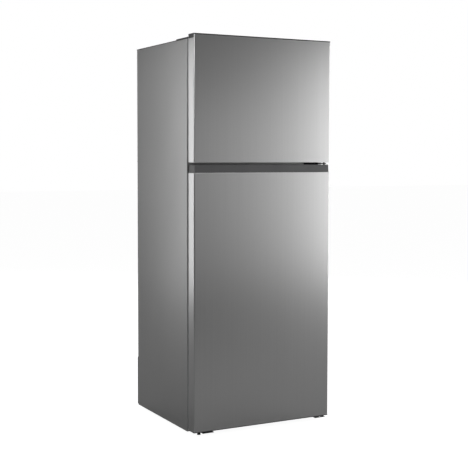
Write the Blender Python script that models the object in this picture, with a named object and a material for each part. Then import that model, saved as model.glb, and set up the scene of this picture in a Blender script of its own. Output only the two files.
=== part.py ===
"""Top freezer refrigerator, free standing, on two levelling feet and two rear rollers.

Metres, +Z up. The doors face -Y and are hinged on the right (+X). The origin is on the
floor, below the middle of the whole object.
"""

import math

import bmesh
import bpy
from mathutils import Matrix, Vector

# ---- Driving dimensions -------------------------------------------------------------
# Cabinet
WIDTH = 0.700
CABINET_DEPTH = 0.568
CABINET_BOTTOM = 0.017
FRIDGE_WALL = 0.050
FREEZER_WALL = 0.060
BASE_WALL = 0.060
MULLION = 0.050
MACHINE_DEPTH = 0.175
MACHINE_TOP = 0.240
SHEET = 0.001
LINER = 0.002
FRONT_FLANGE = 0.020
REAR_FLANGE = 0.012
RAIL_DEPTH = 0.014
LEDGE = 0.008
GAP = 0.0003

# Doors
DOOR_THICKNESS = 0.056
DOOR_STANDOFF = 0.015
DOOR_BOTTOM = 0.025
FRIDGE_DOOR_HEIGHT = 1.182
FREEZER_DOOR_HEIGHT = 0.559
DOOR_SPLIT = 0.010
DOOR_RISE = 0.015
TOP_CAP_HEIGHT = 0.019
TOP_CAP_LIP = 0.004
BOTTOM_CAP_LIP = 0.003
CAP_DEPTH = 0.034
GRIP_HEIGHT = 0.035
GRIP_END_INSET = 0.004
GRIP_SETBACK = 0.0012
GRIP_SLOPE = 0.003
POCKET_WIDTH = 0.420
POCKET_BACK = 0.022
POCKET_DEPTH = 0.022
PLUG_MARGIN = 0.016
PLUG_DEPTH = 0.040
PLUG_WALL = 0.022
GASKET_WIDTH = 0.022
GASKET_INSET = 0.020

# Hinges, feet and rollers
HINGE_INSET_X = 0.016
HINGE_INSET_Y = 0.022
HINGE_PIN = 0.0045
HINGE_PIN_LENGTH = 0.016
HINGE_PLATE = 0.0035
HINGE_ARM = 0.017
HINGE_FLANGE_LENGTH = 0.080
HINGE_RECESS_FRONT = 0.0165
HINGE_COVER_RISE = 0.0045
HINGE_COVER_DEPTH = 0.115
BRACKET_PLATE = 0.0022
BRACKET_WIDTH = 0.056
FOOT_SETBACK = 0.095
FOOT_INSET_LEFT = 0.073
FOOT_INSET_RIGHT = 0.042
FOOT_PAD_RADIUS = 0.014
FOOT_PAD_HEIGHT = 0.008
FOOT_STEM_RADIUS = 0.004
FOOT_STEM_LENGTH = 0.038
ROLLER_RADIUS = 0.018
ROLLER_WIDTH = 0.022
ROLLER_INSET = 0.070
ROLLER_SETBACK = 0.045
AXLE_RADIUS = 0.003

# Machine compartment and rear cover
DECK_SHEET = 0.0015
DECK_LIP = 0.012
REAR_COVER_DEPTH = 0.012
COMPRESSOR_RADIUS = 0.068
COMPRESSOR_HEIGHT = 0.150
PAN_HEIGHT = 0.028
CONDENSER_TUBE = 0.003
CONDENSER_RUNS = 8

# Freezer interior
EVAPORATOR_SPACE = 0.075
FAN_RADIUS = 0.050
FREEZER_SHELF_HEIGHT = 0.222
ICE_FRAME_WIDTH = 0.150
ICE_FRAME_HEIGHT = 0.160
ICE_REAR_CLEAR = 0.061
ICE_BOX_HEIGHT = 0.060
ICE_TRAY_WIDTH = 0.108
ICE_TRAY_DEPTH = 0.030

# Fridge interior
SHELF_GLASS = 0.005
SHELF_SETBACK = 0.092
SHELF_HEIGHTS = {"lower": 0.218, "middle": 0.428, "upper": 0.628}
CRISPER_HEAD = 0.049
CRISPER_SETBACK = 0.136
CRISPER_WALL = 0.0025
DUCT_DEPTH = 0.018
DUCT_WIDTH = 0.220
CONTROL_WIDTH = 0.260
CONTROL_HEIGHT = 0.045
KNOB_RADIUS = 0.019
KNOB_LENGTH = 0.012
BIN_DEPTH = 0.095
BIN_WALL = 0.0025
LID_RISE = 0.045
LID_WALL = 0.0025

# ---- Sizes and places that follow from them -----------------------------------------
DEPTH = DOOR_THICKNESS + DOOR_STANDOFF + CABINET_DEPTH + REAR_COVER_DEPTH
HALF = WIDTH / 2
DOOR_FRONT = -DEPTH / 2
DOOR_BACK = DOOR_FRONT + DOOR_THICKNESS
CABINET_FRONT = DOOR_BACK + DOOR_STANDOFF
CABINET_REAR = CABINET_FRONT + CABINET_DEPTH
FRIDGE_DOOR_TOP = DOOR_BOTTOM + FRIDGE_DOOR_HEIGHT
FREEZER_DOOR_BOTTOM = FRIDGE_DOOR_TOP + DOOR_SPLIT
DOOR_TOP = FREEZER_DOOR_BOTTOM + FREEZER_DOOR_HEIGHT
CABINET_TOP = DOOR_TOP - DOOR_RISE
SPLIT_MIDDLE = FRIDGE_DOOR_TOP + DOOR_SPLIT / 2

HINGE_X = HALF - HINGE_INSET_X
HINGE_Y = DOOR_FRONT + HINGE_INSET_Y

MACHINE_FRONT = CABINET_REAR - MACHINE_DEPTH
DECK_TOP = CABINET_BOTTOM + DECK_SHEET

# Inner faces of the two compartments: half width, floor, ceiling, rear wall
FRIDGE_HALF = HALF - FRIDGE_WALL
FRIDGE_FLOOR = CABINET_BOTTOM + BASE_WALL
FRIDGE_CEILING = SPLIT_MIDDLE - MULLION / 2
FRIDGE_REAR = CABINET_REAR - FRIDGE_WALL
STEP_FRONT = MACHINE_FRONT - FRIDGE_WALL
STEP_TOP = MACHINE_TOP + FRIDGE_WALL
FREEZER_HALF = HALF - FREEZER_WALL
FREEZER_FLOOR = SPLIT_MIDDLE + MULLION / 2
FREEZER_CEILING = CABINET_TOP - FREEZER_WALL
FREEZER_REAR = CABINET_REAR - FREEZER_WALL
FREEZER_SHELF_Z = FREEZER_FLOOR + FREEZER_SHELF_HEIGHT
EVAPORATOR_COVER_Y = FREEZER_REAR - EVAPORATOR_SPACE
SHELF_FRONT = CABINET_FRONT + SHELF_SETBACK
DUCT_FRONT = FRIDGE_REAR - DUCT_DEPTH
SHELF_REAR = DUCT_FRONT - 0.008
CRISPER_COVER_Z = STEP_TOP + CRISPER_HEAD
SHELF_PLACES = {name: CRISPER_COVER_Z + h for name, h in SHELF_HEIGHTS.items()}

FRONT_PLANE_BACK = CABINET_FRONT + SHEET + GAP
FOAM_FRONT = FRONT_PLANE_BACK + LINER + GAP
SKIN_CLEAR = SHEET + GAP


# ---- Tools --------------------------------------------------------------------------
def make_material(name, color, roughness, metallic=0.0, alpha=1.0):
    material = bpy.data.materials.new(name)
    material.use_nodes = True
    shader = material.node_tree.nodes["Principled BSDF"]
    shader.inputs["Base Color"].default_value = (*color, 1.0)
    shader.inputs["Roughness"].default_value = roughness
    shader.inputs["Metallic"].default_value = metallic
    shader.inputs["Alpha"].default_value = alpha
    return material


def make_pivot(name, location):
    """An empty on a joint's axis, which the pieces that move with it are parented to."""
    pivot = bpy.data.objects.new(name, None)
    pivot.empty_display_size = 0.03
    pivot.location = location
    bpy.context.scene.collection.objects.link(pivot)
    return pivot


def add_piece(name, bm, material=None, pivot=None, smooth=False):
    """Turns a bmesh in world coordinates into an object with its origin at its middle."""
    bmesh.ops.recalc_face_normals(bm, faces=bm.faces)
    mesh = bpy.data.meshes.new(name)
    bm.to_mesh(mesh)
    bm.free()
    low = Vector([min(v.co[i] for v in mesh.vertices) for i in range(3)])
    high = Vector([max(v.co[i] for v in mesh.vertices) for i in range(3)])
    middle = (low + high) / 2
    mesh.transform(Matrix.Translation(-middle))
    obj = bpy.data.objects.new(name, mesh)
    bpy.context.scene.collection.objects.link(obj)
    obj.location = middle
    if pivot:
        obj.parent = pivot
        obj.location = middle - pivot.location
    if material:
        mesh.materials.append(material)
    if smooth:
        mesh.shade_smooth()
        mesh.set_sharp_from_angle(angle=math.radians(35))
    return obj


def add_cuboid(bm, x0, x1, y0, y1, z0, z1):
    middle = Vector(((x0 + x1) / 2, (y0 + y1) / 2, (z0 + z1) / 2))
    size = Matrix.Diagonal((x1 - x0, y1 - y0, z1 - z0, 1))
    bmesh.ops.create_cube(bm, size=1, matrix=Matrix.Translation(middle) @ size)


def box(name, limits, material=None, pivot=None, bevel=0.0):
    bm = bmesh.new()
    add_cuboid(bm, *limits)
    obj = add_piece(name, bm, material, pivot)
    if bevel:
        add_bevel(obj, bevel)
    return obj


def boxes(name, many_limits):
    """Several boxes that don't touch, in one mesh, to cut with."""
    bm = bmesh.new()
    for limits in many_limits:
        add_cuboid(bm, *limits)
    return add_piece(name, bm)


def add_bevel(obj, width, segments=2):
    bevel = obj.modifiers.new("edges", "BEVEL")
    bevel.width = width
    bevel.segments = segments
    bevel.limit_method = "ANGLE"


def prism(name, axis, outline, start, end, material=None, pivot=None):
    """An outline in the two other axes, in X, Y, Z order, extruded along one axis."""
    place = {
        "X": lambda a, b: (start, a, b),
        "Y": lambda a, b: (a, start, b),
        "Z": lambda a, b: (a, b, start),
    }[axis]
    along = Vector([end - start if name_of == axis else 0 for name_of in "XYZ"])
    bm = bmesh.new()
    face = bm.faces.new([bm.verts.new(place(a, b)) for a, b in outline])
    grown = bmesh.ops.extrude_face_region(bm, geom=[face])
    moved = [g for g in grown["geom"] if isinstance(g, bmesh.types.BMVert)]
    bmesh.ops.translate(bm, vec=along, verts=moved)
    return add_piece(name, bm, material, pivot)


TURNED = {
    "X": Matrix.Rotation(math.radians(90), 4, "Y"),
    "Y": Matrix.Rotation(math.radians(-90), 4, "X"),
    "Z": Matrix.Identity(4),
}


def turned(name, axis, middle, profile, material=None, pivot=None, steps=24):
    """A profile of (radius, height) points turned round an axis through middle.

    A profile that starts and ends at radius 0 gives a solid piece. One that doesn't is
    closed on itself, and gives a ring.
    """
    bm = bmesh.new()
    points = [bm.verts.new((radius, 0, height)) for radius, height in profile]
    edges = [bm.edges.new(pair) for pair in zip(points, points[1:])]
    if profile[0][0] > 0:
        edges.append(bm.edges.new((points[-1], points[0])))
    bmesh.ops.spin(
        bm,
        geom=points + edges,
        axis=(0, 0, 1),
        cent=(0, 0, 0),
        angle=math.tau,
        steps=steps,
        use_merge=True,
    )
    bmesh.ops.remove_doubles(bm, verts=bm.verts, dist=0.00001)
    bm.transform(Matrix.Translation(middle) @ TURNED[axis])
    return add_piece(name, bm, material, pivot, smooth=True)


def rod(name, axis, middle, radius, start, end, material=None, pivot=None, steps=20):
    """A plain cylinder from start to end along its axis, measured from middle."""
    profile = [(0, start), (radius, start), (radius, end), (0, end)]
    return turned(name, axis, middle, profile, material, pivot, steps)


def tube(name, points, radius, material):
    """A round tube along a list of points, with closed ends."""
    curve = bpy.data.curves.new(name, "CURVE")
    curve.dimensions = "3D"
    curve.bevel_depth = radius
    curve.bevel_resolution = 2
    curve.use_fill_caps = True
    spline = curve.splines.new("POLY")
    spline.points.add(len(points) - 1)
    for point, place in zip(spline.points, points):
        point.co = (*place, 1)
    obj = bpy.data.objects.new(name, curve)
    bpy.context.scene.collection.objects.link(obj)
    curve.materials.append(material)
    return obj


def combine(obj, other, operation):
    boolean = obj.modifiers.new(other.name, "BOOLEAN")
    boolean.operation = operation
    boolean.solver = "EXACT"
    boolean.object = other
    other.hide_render = True
    other.display_type = "WIRE"
    return obj


def cut(obj, cutter):
    return combine(obj, cutter, "DIFFERENCE")


def join(obj, other):
    return combine(obj, other, "UNION")


def arc(middle, radius, start, end, steps):
    """Points on an arc, from the start angle to the end angle in degrees."""
    angles = [math.radians(start + (end - start) * i / steps) for i in range(steps + 1)]
    return [
        (middle[0] + radius * math.cos(a), middle[1] + radius * math.sin(a))
        for a in angles
    ]


def grown(limits, margin):
    """A box's limits with every face moved outwards by margin."""
    return [v + (margin if i % 2 else -margin) for i, v in enumerate(limits)]


# ---- Cabinet ------------------------------------------------------------------------
def make_side_panel(name, side, material):
    """Pre-painted sheet with its front and rear edges folded inwards."""
    outline = [
        (HALF, CABINET_FRONT),
        (HALF, CABINET_REAR),
        (HALF - REAR_FLANGE, CABINET_REAR),
        (HALF - REAR_FLANGE, CABINET_REAR - SHEET),
        (HALF - SHEET, CABINET_REAR - SHEET),
        (HALF - SHEET, CABINET_FRONT + SHEET),
        (HALF - FRONT_FLANGE, CABINET_FRONT + SHEET),
        (HALF - FRONT_FLANGE, CABINET_FRONT),
    ]
    outline = [(side * x, y) for x, y in outline]
    return prism(name, "Z", outline, CABINET_BOTTOM, CABINET_TOP, material)


def make_top_panel(material):
    """Sheet between the side panels, with a flange down at the front and the rear."""
    front = FRONT_PLANE_BACK
    rear = CABINET_REAR - SHEET - GAP
    flange = CABINET_TOP - REAR_FLANGE
    outline = [
        (front, CABINET_TOP),
        (rear, CABINET_TOP),
        (rear, flange),
        (rear - SHEET, flange),
        (rear - SHEET, CABINET_TOP - SHEET),
        (front + SHEET, CABINET_TOP - SHEET),
        (front + SHEET, flange),
        (front, flange),
    ]
    reach = HALF - SHEET - GAP
    return prism("top_panel", "X", outline, -reach, reach, material)


def make_rear_panel(material):
    reach = HALF - REAR_FLANGE - GAP
    limits = (-reach, reach, CABINET_REAR - SHEET, CABINET_REAR)
    return box("rear_panel", (*limits, MACHINE_TOP + GAP, CABINET_TOP), material)


def bottom_panel_outline(inset):
    """The bent floor sheet's path, or the same moved into the foam by inset."""
    return [
        (FOAM_FRONT - GAP + inset, CABINET_BOTTOM + SHEET + inset),
        (MACHINE_FRONT - inset, CABINET_BOTTOM + SHEET + inset),
        (MACHINE_FRONT - inset, MACHINE_TOP + inset),
        (CABINET_REAR - SHEET - GAP - inset, MACHINE_TOP + inset),
    ]


def make_bottom_panel(material):
    """One sheet: front rail, floor, wall and roof of the machine compartment."""
    rail_top = FRIDGE_FLOOR - LINER - FRONT_FLANGE
    rear = CABINET_REAR - SHEET - GAP
    outline = [
        (CABINET_FRONT, CABINET_BOTTOM),
        (MACHINE_FRONT, CABINET_BOTTOM),
        (MACHINE_FRONT, MACHINE_TOP - SHEET),
        (rear, MACHINE_TOP - SHEET),
        (rear, MACHINE_TOP),
        (MACHINE_FRONT - SHEET, MACHINE_TOP),
        (MACHINE_FRONT - SHEET, CABINET_BOTTOM + SHEET),
        (CABINET_FRONT + SHEET, CABINET_BOTTOM + SHEET),
        (CABINET_FRONT + SHEET, rail_top),
        (CABINET_FRONT, rail_top),
    ]
    reach = HALF - FRONT_FLANGE - GAP
    panel = prism("bottom_panel", "X", outline, -reach, reach, material)
    for foot in FEET:
        middle = (foot["x"], foot["y"], CABINET_BOTTOM)
        cut(panel, rod(foot["name"] + "_panel_hole", "Z", middle, foot["hole"], -0.01, 0.01))
    return panel


def make_liner(name, half, floor, ceiling, rear, flange, step, material):
    """A thin formed tub, open at the front, with a flange round its mouth."""
    front = FRONT_PLANE_BACK
    mouth = front + LINER
    outer = [(front, floor - LINER), (rear + LINER, floor - LINER)]
    inner = [(front - LINER, floor), (rear, floor)]
    if step:
        outer = [
            (front, floor - LINER),
            (STEP_FRONT + LINER, floor - LINER),
            (STEP_FRONT + LINER, STEP_TOP - LINER),
            (rear + LINER, STEP_TOP - LINER),
        ]
        inner = [
            (front - LINER, floor),
            (STEP_FRONT, floor),
            (STEP_FRONT, STEP_TOP),
            (rear, STEP_TOP),
        ]
    outer += [(rear + LINER, ceiling + LINER), (front, ceiling + LINER)]
    inner += [(rear, ceiling), (front - LINER, ceiling)]
    tub = prism(name, "X", outer, -half - LINER, half + LINER, material)
    left, right, low, high = flange
    join(tub, box(name + "_flange", (left, right, front, mouth, low, high)))
    cut(tub, prism(name + "_hollow", "X", inner, -half, half))
    return tub


def add_ledges(liner, half, front, rear, heights):
    """Ledges on both side walls, with their tops at the given heights."""
    for index, top in enumerate(heights):
        for side in (-1, 1):
            wall = side * (half + LINER / 2)
            edge = side * (half - LEDGE)
            limits = (min(wall, edge), max(wall, edge), front, rear, top - LEDGE, top)
            join(liner, box(f"{liner.name}_ledge_{index}_{side}", limits))


def make_liners(material):
    reach = HALF - SHEET - GAP
    split = RAIL_HALF_HEIGHT + GAP
    low = FRIDGE_FLOOR - LINER - FRONT_FLANGE + GAP
    flange = (-reach, reach, low, SPLIT_MIDDLE - split)
    fridge = make_liner(
        "fridge_liner", FRIDGE_HALF, FRIDGE_FLOOR, FRIDGE_CEILING, FRIDGE_REAR, flange, True, material
    )
    heights = [z - GAP for z in SHELF_PLACES.values()]
    heights.append(CRISPER_COVER_Z - GAP)
    add_ledges(fridge, FRIDGE_HALF, SHELF_FRONT, SHELF_REAR, heights)
    high = CABINET_TOP - REAR_FLANGE - GAP
    flange = (-reach, reach, SPLIT_MIDDLE + split, high)
    freezer = make_liner(
        "freezer_liner", FREEZER_HALF, FREEZER_FLOOR, FREEZER_CEILING, FREEZER_REAR, flange, False, material
    )
    rear = EVAPORATOR_COVER_Y - 0.012
    add_ledges(freezer, FREEZER_HALF, SHELF_FRONT, rear, [FREEZER_SHELF_Z - GAP])


RAIL_HALF_HEIGHT = 0.010


def make_centre_rail(material):
    """Steel channel across the front between the two compartments."""
    front = CABINET_FRONT
    back = CABINET_FRONT + RAIL_DEPTH
    low = SPLIT_MIDDLE - RAIL_HALF_HEIGHT
    high = SPLIT_MIDDLE + RAIL_HALF_HEIGHT
    outline = [
        (front, low),
        (back, low),
        (back, low + SHEET),
        (front + SHEET, low + SHEET),
        (front + SHEET, high - SHEET),
        (back, high - SHEET),
        (back, high),
        (front, high),
    ]
    reach = HALF - FRONT_FLANGE - GAP
    return prism("centre_rail", "X", outline, -reach, reach, material)


def make_foam(material):
    """Foamed insulation that fills the space between the sheets and the liners."""
    top = CABINET_TOP - SHEET - GAP
    rear = CABINET_REAR - 2 * (SHEET + GAP)
    path = bottom_panel_outline(GAP)
    outline = path[:3] + [(rear, MACHINE_TOP + GAP), (rear, top), (path[0][0], top)]
    outline[2] = (MACHINE_FRONT - SHEET - GAP, MACHINE_TOP + GAP)
    outline[1] = (MACHINE_FRONT - SHEET - GAP, path[1][1])
    reach = HALF - SHEET - GAP
    foam = prism("cabinet_foam", "X", outline, -reach, reach, material)
    past = FOAM_FRONT - 0.02
    skin = LINER + GAP
    fridge = [
        (past, FRIDGE_FLOOR - skin),
        (STEP_FRONT + skin, FRIDGE_FLOOR - skin),
        (STEP_FRONT + skin, STEP_TOP - skin),
        (FRIDGE_REAR + skin, STEP_TOP - skin),
        (FRIDGE_REAR + skin, FRIDGE_CEILING + skin),
        (past, FRIDGE_CEILING + skin),
    ]
    half = FRIDGE_HALF + skin
    cut(foam, prism("foam_fridge_hollow", "X", fridge, -half, half))
    half = FREEZER_HALF + skin
    limits = (-half, half, past, FREEZER_REAR + skin)
    limits = (*limits, FREEZER_FLOOR - skin, FREEZER_CEILING + skin)
    cut(foam, box("foam_freezer_hollow", limits))
    rail = RAIL_HALF_HEIGHT + GAP
    limits = (-HALF, HALF, past, CABINET_FRONT + RAIL_DEPTH + GAP)
    cut(foam, box("foam_rail_slot", (*limits, SPLIT_MIDDLE - rail, SPLIT_MIDDLE + rail)))
    for foot in FEET:
        middle = (foot["x"], foot["y"], CABINET_BOTTOM)
        depth = FOOT_STEM_LENGTH + FOOT_PAD_HEIGHT - CABINET_BOTTOM + 0.004
        hole = rod(foot["name"] + "_foam_hole", "Z", middle, foot["hole"], -0.01, depth)
        cut(foam, hole)
    return foam


# ---- Feet, hinges and rollers -------------------------------------------------------
FEET = [
    {"name": "levelling_foot_left", "x": -HALF + FOOT_INSET_LEFT},
    {"name": "levelling_foot_right", "x": HALF - FOOT_INSET_RIGHT},
]
for each in FEET:
    each["y"] = DOOR_FRONT + FOOT_SETBACK
    each["hole"] = FOOT_STEM_RADIUS + 0.002


def make_foot(foot, material):
    """A pad with a screwed stem. It screws out downwards."""
    middle = (foot["x"], foot["y"], 0)
    pivot = make_pivot(foot["name"] + "_slide", middle)
    pad = FOOT_PAD_RADIUS
    stem = FOOT_STEM_RADIUS
    end = FOOT_PAD_HEIGHT + FOOT_STEM_LENGTH
    profile = [
        (0, 0),
        (pad - 0.001, 0),
        (pad, 0.001),
        (pad, FOOT_PAD_HEIGHT),
        (stem, FOOT_PAD_HEIGHT),
        (stem, end - 0.001),
        (stem - 0.001, end),
        (0, end),
    ]
    return turned(foot["name"], "Z", middle, profile, material, pivot, steps=16)


def make_bracket(name, foot, left, right, front, material):
    """A plate under the cabinet's front edge that a levelling foot screws through."""
    high = CABINET_BOTTOM - GAP
    limits = (left, right, front, CABINET_FRONT + 0.060, high - BRACKET_PLATE, high)
    plate = box(name, limits, material)
    middle = (foot["x"], foot["y"], high)
    cut(plate, rod(name + "_hole", "Z", middle, FOOT_STEM_RADIUS + GAP, -0.01, 0.01))
    return plate


def make_lower_hinge(material):
    """The right bracket, which carries the fridge door's lower pin as well."""
    right = HALF - 0.006
    left = right - BRACKET_WIDTH
    front = HINGE_Y - 0.010
    plate = make_bracket("lower_hinge", FEET[1], left, right, front, material)
    middle = (HINGE_X, HINGE_Y, CABINET_BOTTOM - GAP)
    reach = DOOR_BOTTOM - CABINET_BOTTOM + HINGE_PIN_LENGTH
    join(plate, rod("lower_hinge_pin", "Z", middle, HINGE_PIN, -0.001, reach))
    collar = DOOR_BOTTOM - CABINET_BOTTOM - 0.001
    join(plate, rod("lower_hinge_collar", "Z", middle, HINGE_PIN + 0.003, -0.001, collar))
    return plate


def make_middle_hinge(material):
    """An angle plate on the centre rail with a pin up and a pin down."""
    thick = DOOR_SPLIT / 2
    left = HINGE_X - HINGE_FLANGE_LENGTH
    right = HALF - 0.004
    back = CABINET_FRONT - GAP
    low = SPLIT_MIDDLE - thick / 2
    high = SPLIT_MIDDLE + thick / 2
    nose = HINGE_ARM / 2
    outline = [(left, back), (right, back), (right, HINGE_Y)]
    outline += arc((HINGE_X, HINGE_Y), nose, 0, -180, 12)[1:]
    outline += [(HINGE_X - nose, DOOR_BACK), (left, DOOR_BACK + 0.006)]
    plate = prism("middle_hinge", "Z", outline, low, high, material)
    flange = RAIL_HALF_HEIGHT + 0.002
    limits = (left, HALF - FRONT_FLANGE - GAP, back - 0.003, back)
    limits = (*limits, SPLIT_MIDDLE - flange, SPLIT_MIDDLE + flange)
    join(plate, box("middle_hinge_flange", limits))
    reach = DOOR_SPLIT / 2 + HINGE_PIN_LENGTH
    middle = (HINGE_X, HINGE_Y, SPLIT_MIDDLE)
    join(plate, rod("middle_hinge_pins", "Z", middle, HINGE_PIN, -reach, reach))
    return plate


def make_top_hinge(material):
    """A plate on the cabinet's top with a pin down into the freezer door."""
    low = CABINET_TOP + GAP
    high = low + HINGE_PLATE
    nose = HINGE_ARM / 2
    rear = CABINET_FRONT + 0.075
    outline = [(HINGE_X + nose, rear), (HINGE_X + nose, HINGE_Y)]
    outline += arc((HINGE_X, HINGE_Y), nose, 0, -180, 12)[1:]
    outline += [
        (HINGE_X - nose, CABINET_FRONT + 0.004),
        (HINGE_X - 0.045, CABINET_FRONT + 0.030),
        (HINGE_X - 0.045, rear),
    ]
    plate = prism("top_hinge", "Z", outline, low, high, material)
    middle = (HINGE_X, HINGE_Y, low)
    pin = rod("top_hinge_pin", "Z", middle, HINGE_PIN, -HINGE_PIN_LENGTH, HINGE_PLATE / 2)
    return join(plate, pin)


def make_hinge_cover(material):
    """A low moulding across the cabinet's top front that rises over the top hinge."""
    low = CABINET_TOP + GAP
    front = CABINET_FRONT - 0.004
    rear = CABINET_FRONT + HINGE_COVER_DEPTH
    reach = HALF - 0.002
    top = CABINET_TOP + HINGE_COVER_RISE
    cover = box("hinge_cover", (-reach, reach, front, rear, low, top), material)
    nose = HINGE_ARM / 2
    hood = [(HINGE_X + nose, rear - 0.020), (HINGE_X + nose, HINGE_Y)]
    hood += arc((HINGE_X, HINGE_Y), nose, 0, -180, 12)[1:]
    hood += [
        (HINGE_X - nose, front),
        (HINGE_X - 0.055, front + 0.020),
        (HINGE_X - 0.055, rear - 0.020),
    ]
    join(cover, prism("hinge_cover_hood", "Z", hood, low + HINGE_PLATE / 4, DOOR_TOP - 0.001))
    slot = [(HINGE_X + nose + 0.001, rear - 0.036), (HINGE_X + nose + 0.001, HINGE_Y - 0.02)]
    slot += [
        (HINGE_X - nose - 0.001, HINGE_Y - 0.02),
        (HINGE_X - nose - 0.001, CABINET_FRONT + 0.003),
        (HINGE_X - 0.046, CABINET_FRONT + 0.029),
        (HINGE_X - 0.046, rear - 0.036),
    ]
    return cut(
        cover, prism("hinge_cover_slot", "Z", slot, low - 0.002, low + HINGE_PLATE + GAP)
    )


def roller_places():
    y = CABINET_REAR - ROLLER_SETBACK
    return [("left", -HALF + ROLLER_INSET, y), ("right", HALF - ROLLER_INSET, y)]


def make_roller(side, x, y, material):
    pivot = make_pivot(f"rear_roller_{side}_axis", (x, y, ROLLER_RADIUS))
    half = ROLLER_WIDTH / 2
    bore = AXLE_RADIUS + GAP
    rim = ROLLER_RADIUS
    profile = [
        (bore, -half),
        (rim - 0.002, -half),
        (rim, -half + 0.002),
        (rim, half - 0.002),
        (rim - 0.002, half),
        (bore, half),
    ]
    middle = (x, y, ROLLER_RADIUS)
    return turned(f"rear_roller_{side}", "X", middle, profile, material, pivot, steps=32)


# ---- Machine compartment ------------------------------------------------------------
def make_deck(material):
    """The tray across the machine compartment, with lugs and an axle for each roller."""
    front = MACHINE_FRONT + GAP
    rear = CABINET_REAR - SHEET - GAP
    low = CABINET_BOTTOM
    outline = [
        (front, low),
        (rear, low),
        (rear, low + DECK_LIP),
        (rear - DECK_SHEET, low + DECK_LIP),
        (rear - DECK_SHEET, DECK_TOP),
        (front + DECK_SHEET, DECK_TOP),
        (front + DECK_SHEET, low + DECK_LIP),
        (front, low + DECK_LIP),
    ]
    reach = HALF - REAR_FLANGE - GAP
    deck = prism("compressor_deck", "X", outline, -reach, reach, material)
    lug = 0.0025
    for side, x, y in roller_places():
        half = ROLLER_WIDTH / 2 + 0.002
        run = ROLLER_RADIUS + 0.003
        slot = (x - half, x + half, y - run, y + run, low - 0.01, DECK_TOP + 0.01)
        cut(deck, box(f"deck_slot_{side}", slot))
        lug_top = ROLLER_RADIUS + 0.008
        for step, inner in enumerate((x - half - lug, x + half)):
            limits = (inner, inner + lug, y - 0.010, y + 0.010, low + 0.0002, lug_top)
            join(deck, box(f"deck_lug_{side}_{step}", limits))
        middle = (x, y, ROLLER_RADIUS)
        end = half + lug - 0.0005
        join(deck, rod(f"deck_axle_{side}", "X", middle, AXLE_RADIUS, -end, end, steps=16))
    return deck


COMPRESSOR_X = 0.150
MACHINE_MIDDLE = MACHINE_FRONT + MACHINE_DEPTH / 2


def make_compressor(material):
    """A welded shell on a foot plate, with its suction and discharge stubs."""
    base = DECK_TOP + 0.012
    top = base + COMPRESSOR_HEIGHT
    r = COMPRESSOR_RADIUS
    profile = [
        (0, base),
        (0.6 * r, base),
        (0.9 * r, base + 0.020),
        (r, base + 0.045),
        (r, base + 0.075),
        (r + 0.003, base + 0.076),
        (r + 0.003, base + 0.082),
        (r, base + 0.083),
        (r, top - 0.045),
        (0.88 * r, top - 0.018),
        (0.5 * r, top - 0.003),
        (0, top),
    ]
    middle = (COMPRESSOR_X, MACHINE_MIDDLE, 0)
    shell = turned("compressor", "Z", middle, profile, material, steps=28)
    foot = r + 0.014
    plate = (COMPRESSOR_X - foot - 0.012, COMPRESSOR_X + foot + 0.012)
    plate = (*plate, MACHINE_MIDDLE - foot + 0.010, MACHINE_MIDDLE + foot - 0.010)
    join(shell, box("compressor_plate", (*plate, base - 0.001, base + 0.003)))
    for index, x in enumerate((plate[0] + 0.008, plate[1] - 0.008)):
        for step, y in enumerate((plate[2] + 0.010, plate[3] - 0.010)):
            peg = rod(
                f"compressor_peg_{index}_{step}", "Z", (x, y, 0), 0.006, DECK_TOP + GAP, base
            )
            join(shell, peg)
    stub = (COMPRESSOR_X - r + 0.004, MACHINE_MIDDLE + 0.020, base + 0.085)
    return join(shell, rod("compressor_stub", "X", stub, 0.004, -0.030, 0.010))


def make_terminal_cover(material):
    x = COMPRESSOR_X + COMPRESSOR_RADIUS + 0.005
    z = DECK_TOP + 0.040
    limits = (x, x + 0.034, MACHINE_MIDDLE - 0.032, MACHINE_MIDDLE + 0.032, z, z + 0.064)
    return box("terminal_cover", limits, material, bevel=0.004)


def make_drain_pan(material):
    """A shallow tray over the compressor where the defrost water dries off."""
    low = DECK_TOP + 0.012 + COMPRESSOR_HEIGHT + 0.004
    limits = (COMPRESSOR_X - 0.120, COMPRESSOR_X + 0.105)
    limits = (*limits, MACHINE_FRONT + 0.004, CABINET_REAR - 0.030, low, low + PAN_HEIGHT)
    pan = box("drain_pan", limits, material)
    hollow = list(grown(limits, -0.002))
    hollow[5] = limits[5] + 0.01
    return cut(pan, box("drain_pan_hollow", hollow))


def make_condenser(material):
    """One folded tube, standing in the free half of the machine compartment."""
    pitch = 0.019
    bend = pitch / 2
    left = -HALF + 0.125
    right = COMPRESSOR_X - COMPRESSOR_RADIUS - 0.075
    y = MACHINE_MIDDLE
    z = DECK_TOP + 0.022
    points = []
    for run in range(CONDENSER_RUNS):
        ends = (left, right) if run % 2 == 0 else (right, left)
        points += [(ends[0], y, z), (ends[1], y, z)]
        if run < CONDENSER_RUNS - 1:
            turn = arc((ends[1], z + bend), bend, -90, 90, 8)[1:-1]
            if run % 2:
                turn = [(2 * ends[1] - a, b) for a, b in turn]
            points += [(a, y, b) for a, b in turn]
        z += pitch
    return tube("condenser", points, CONDENSER_TUBE, material)


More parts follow.
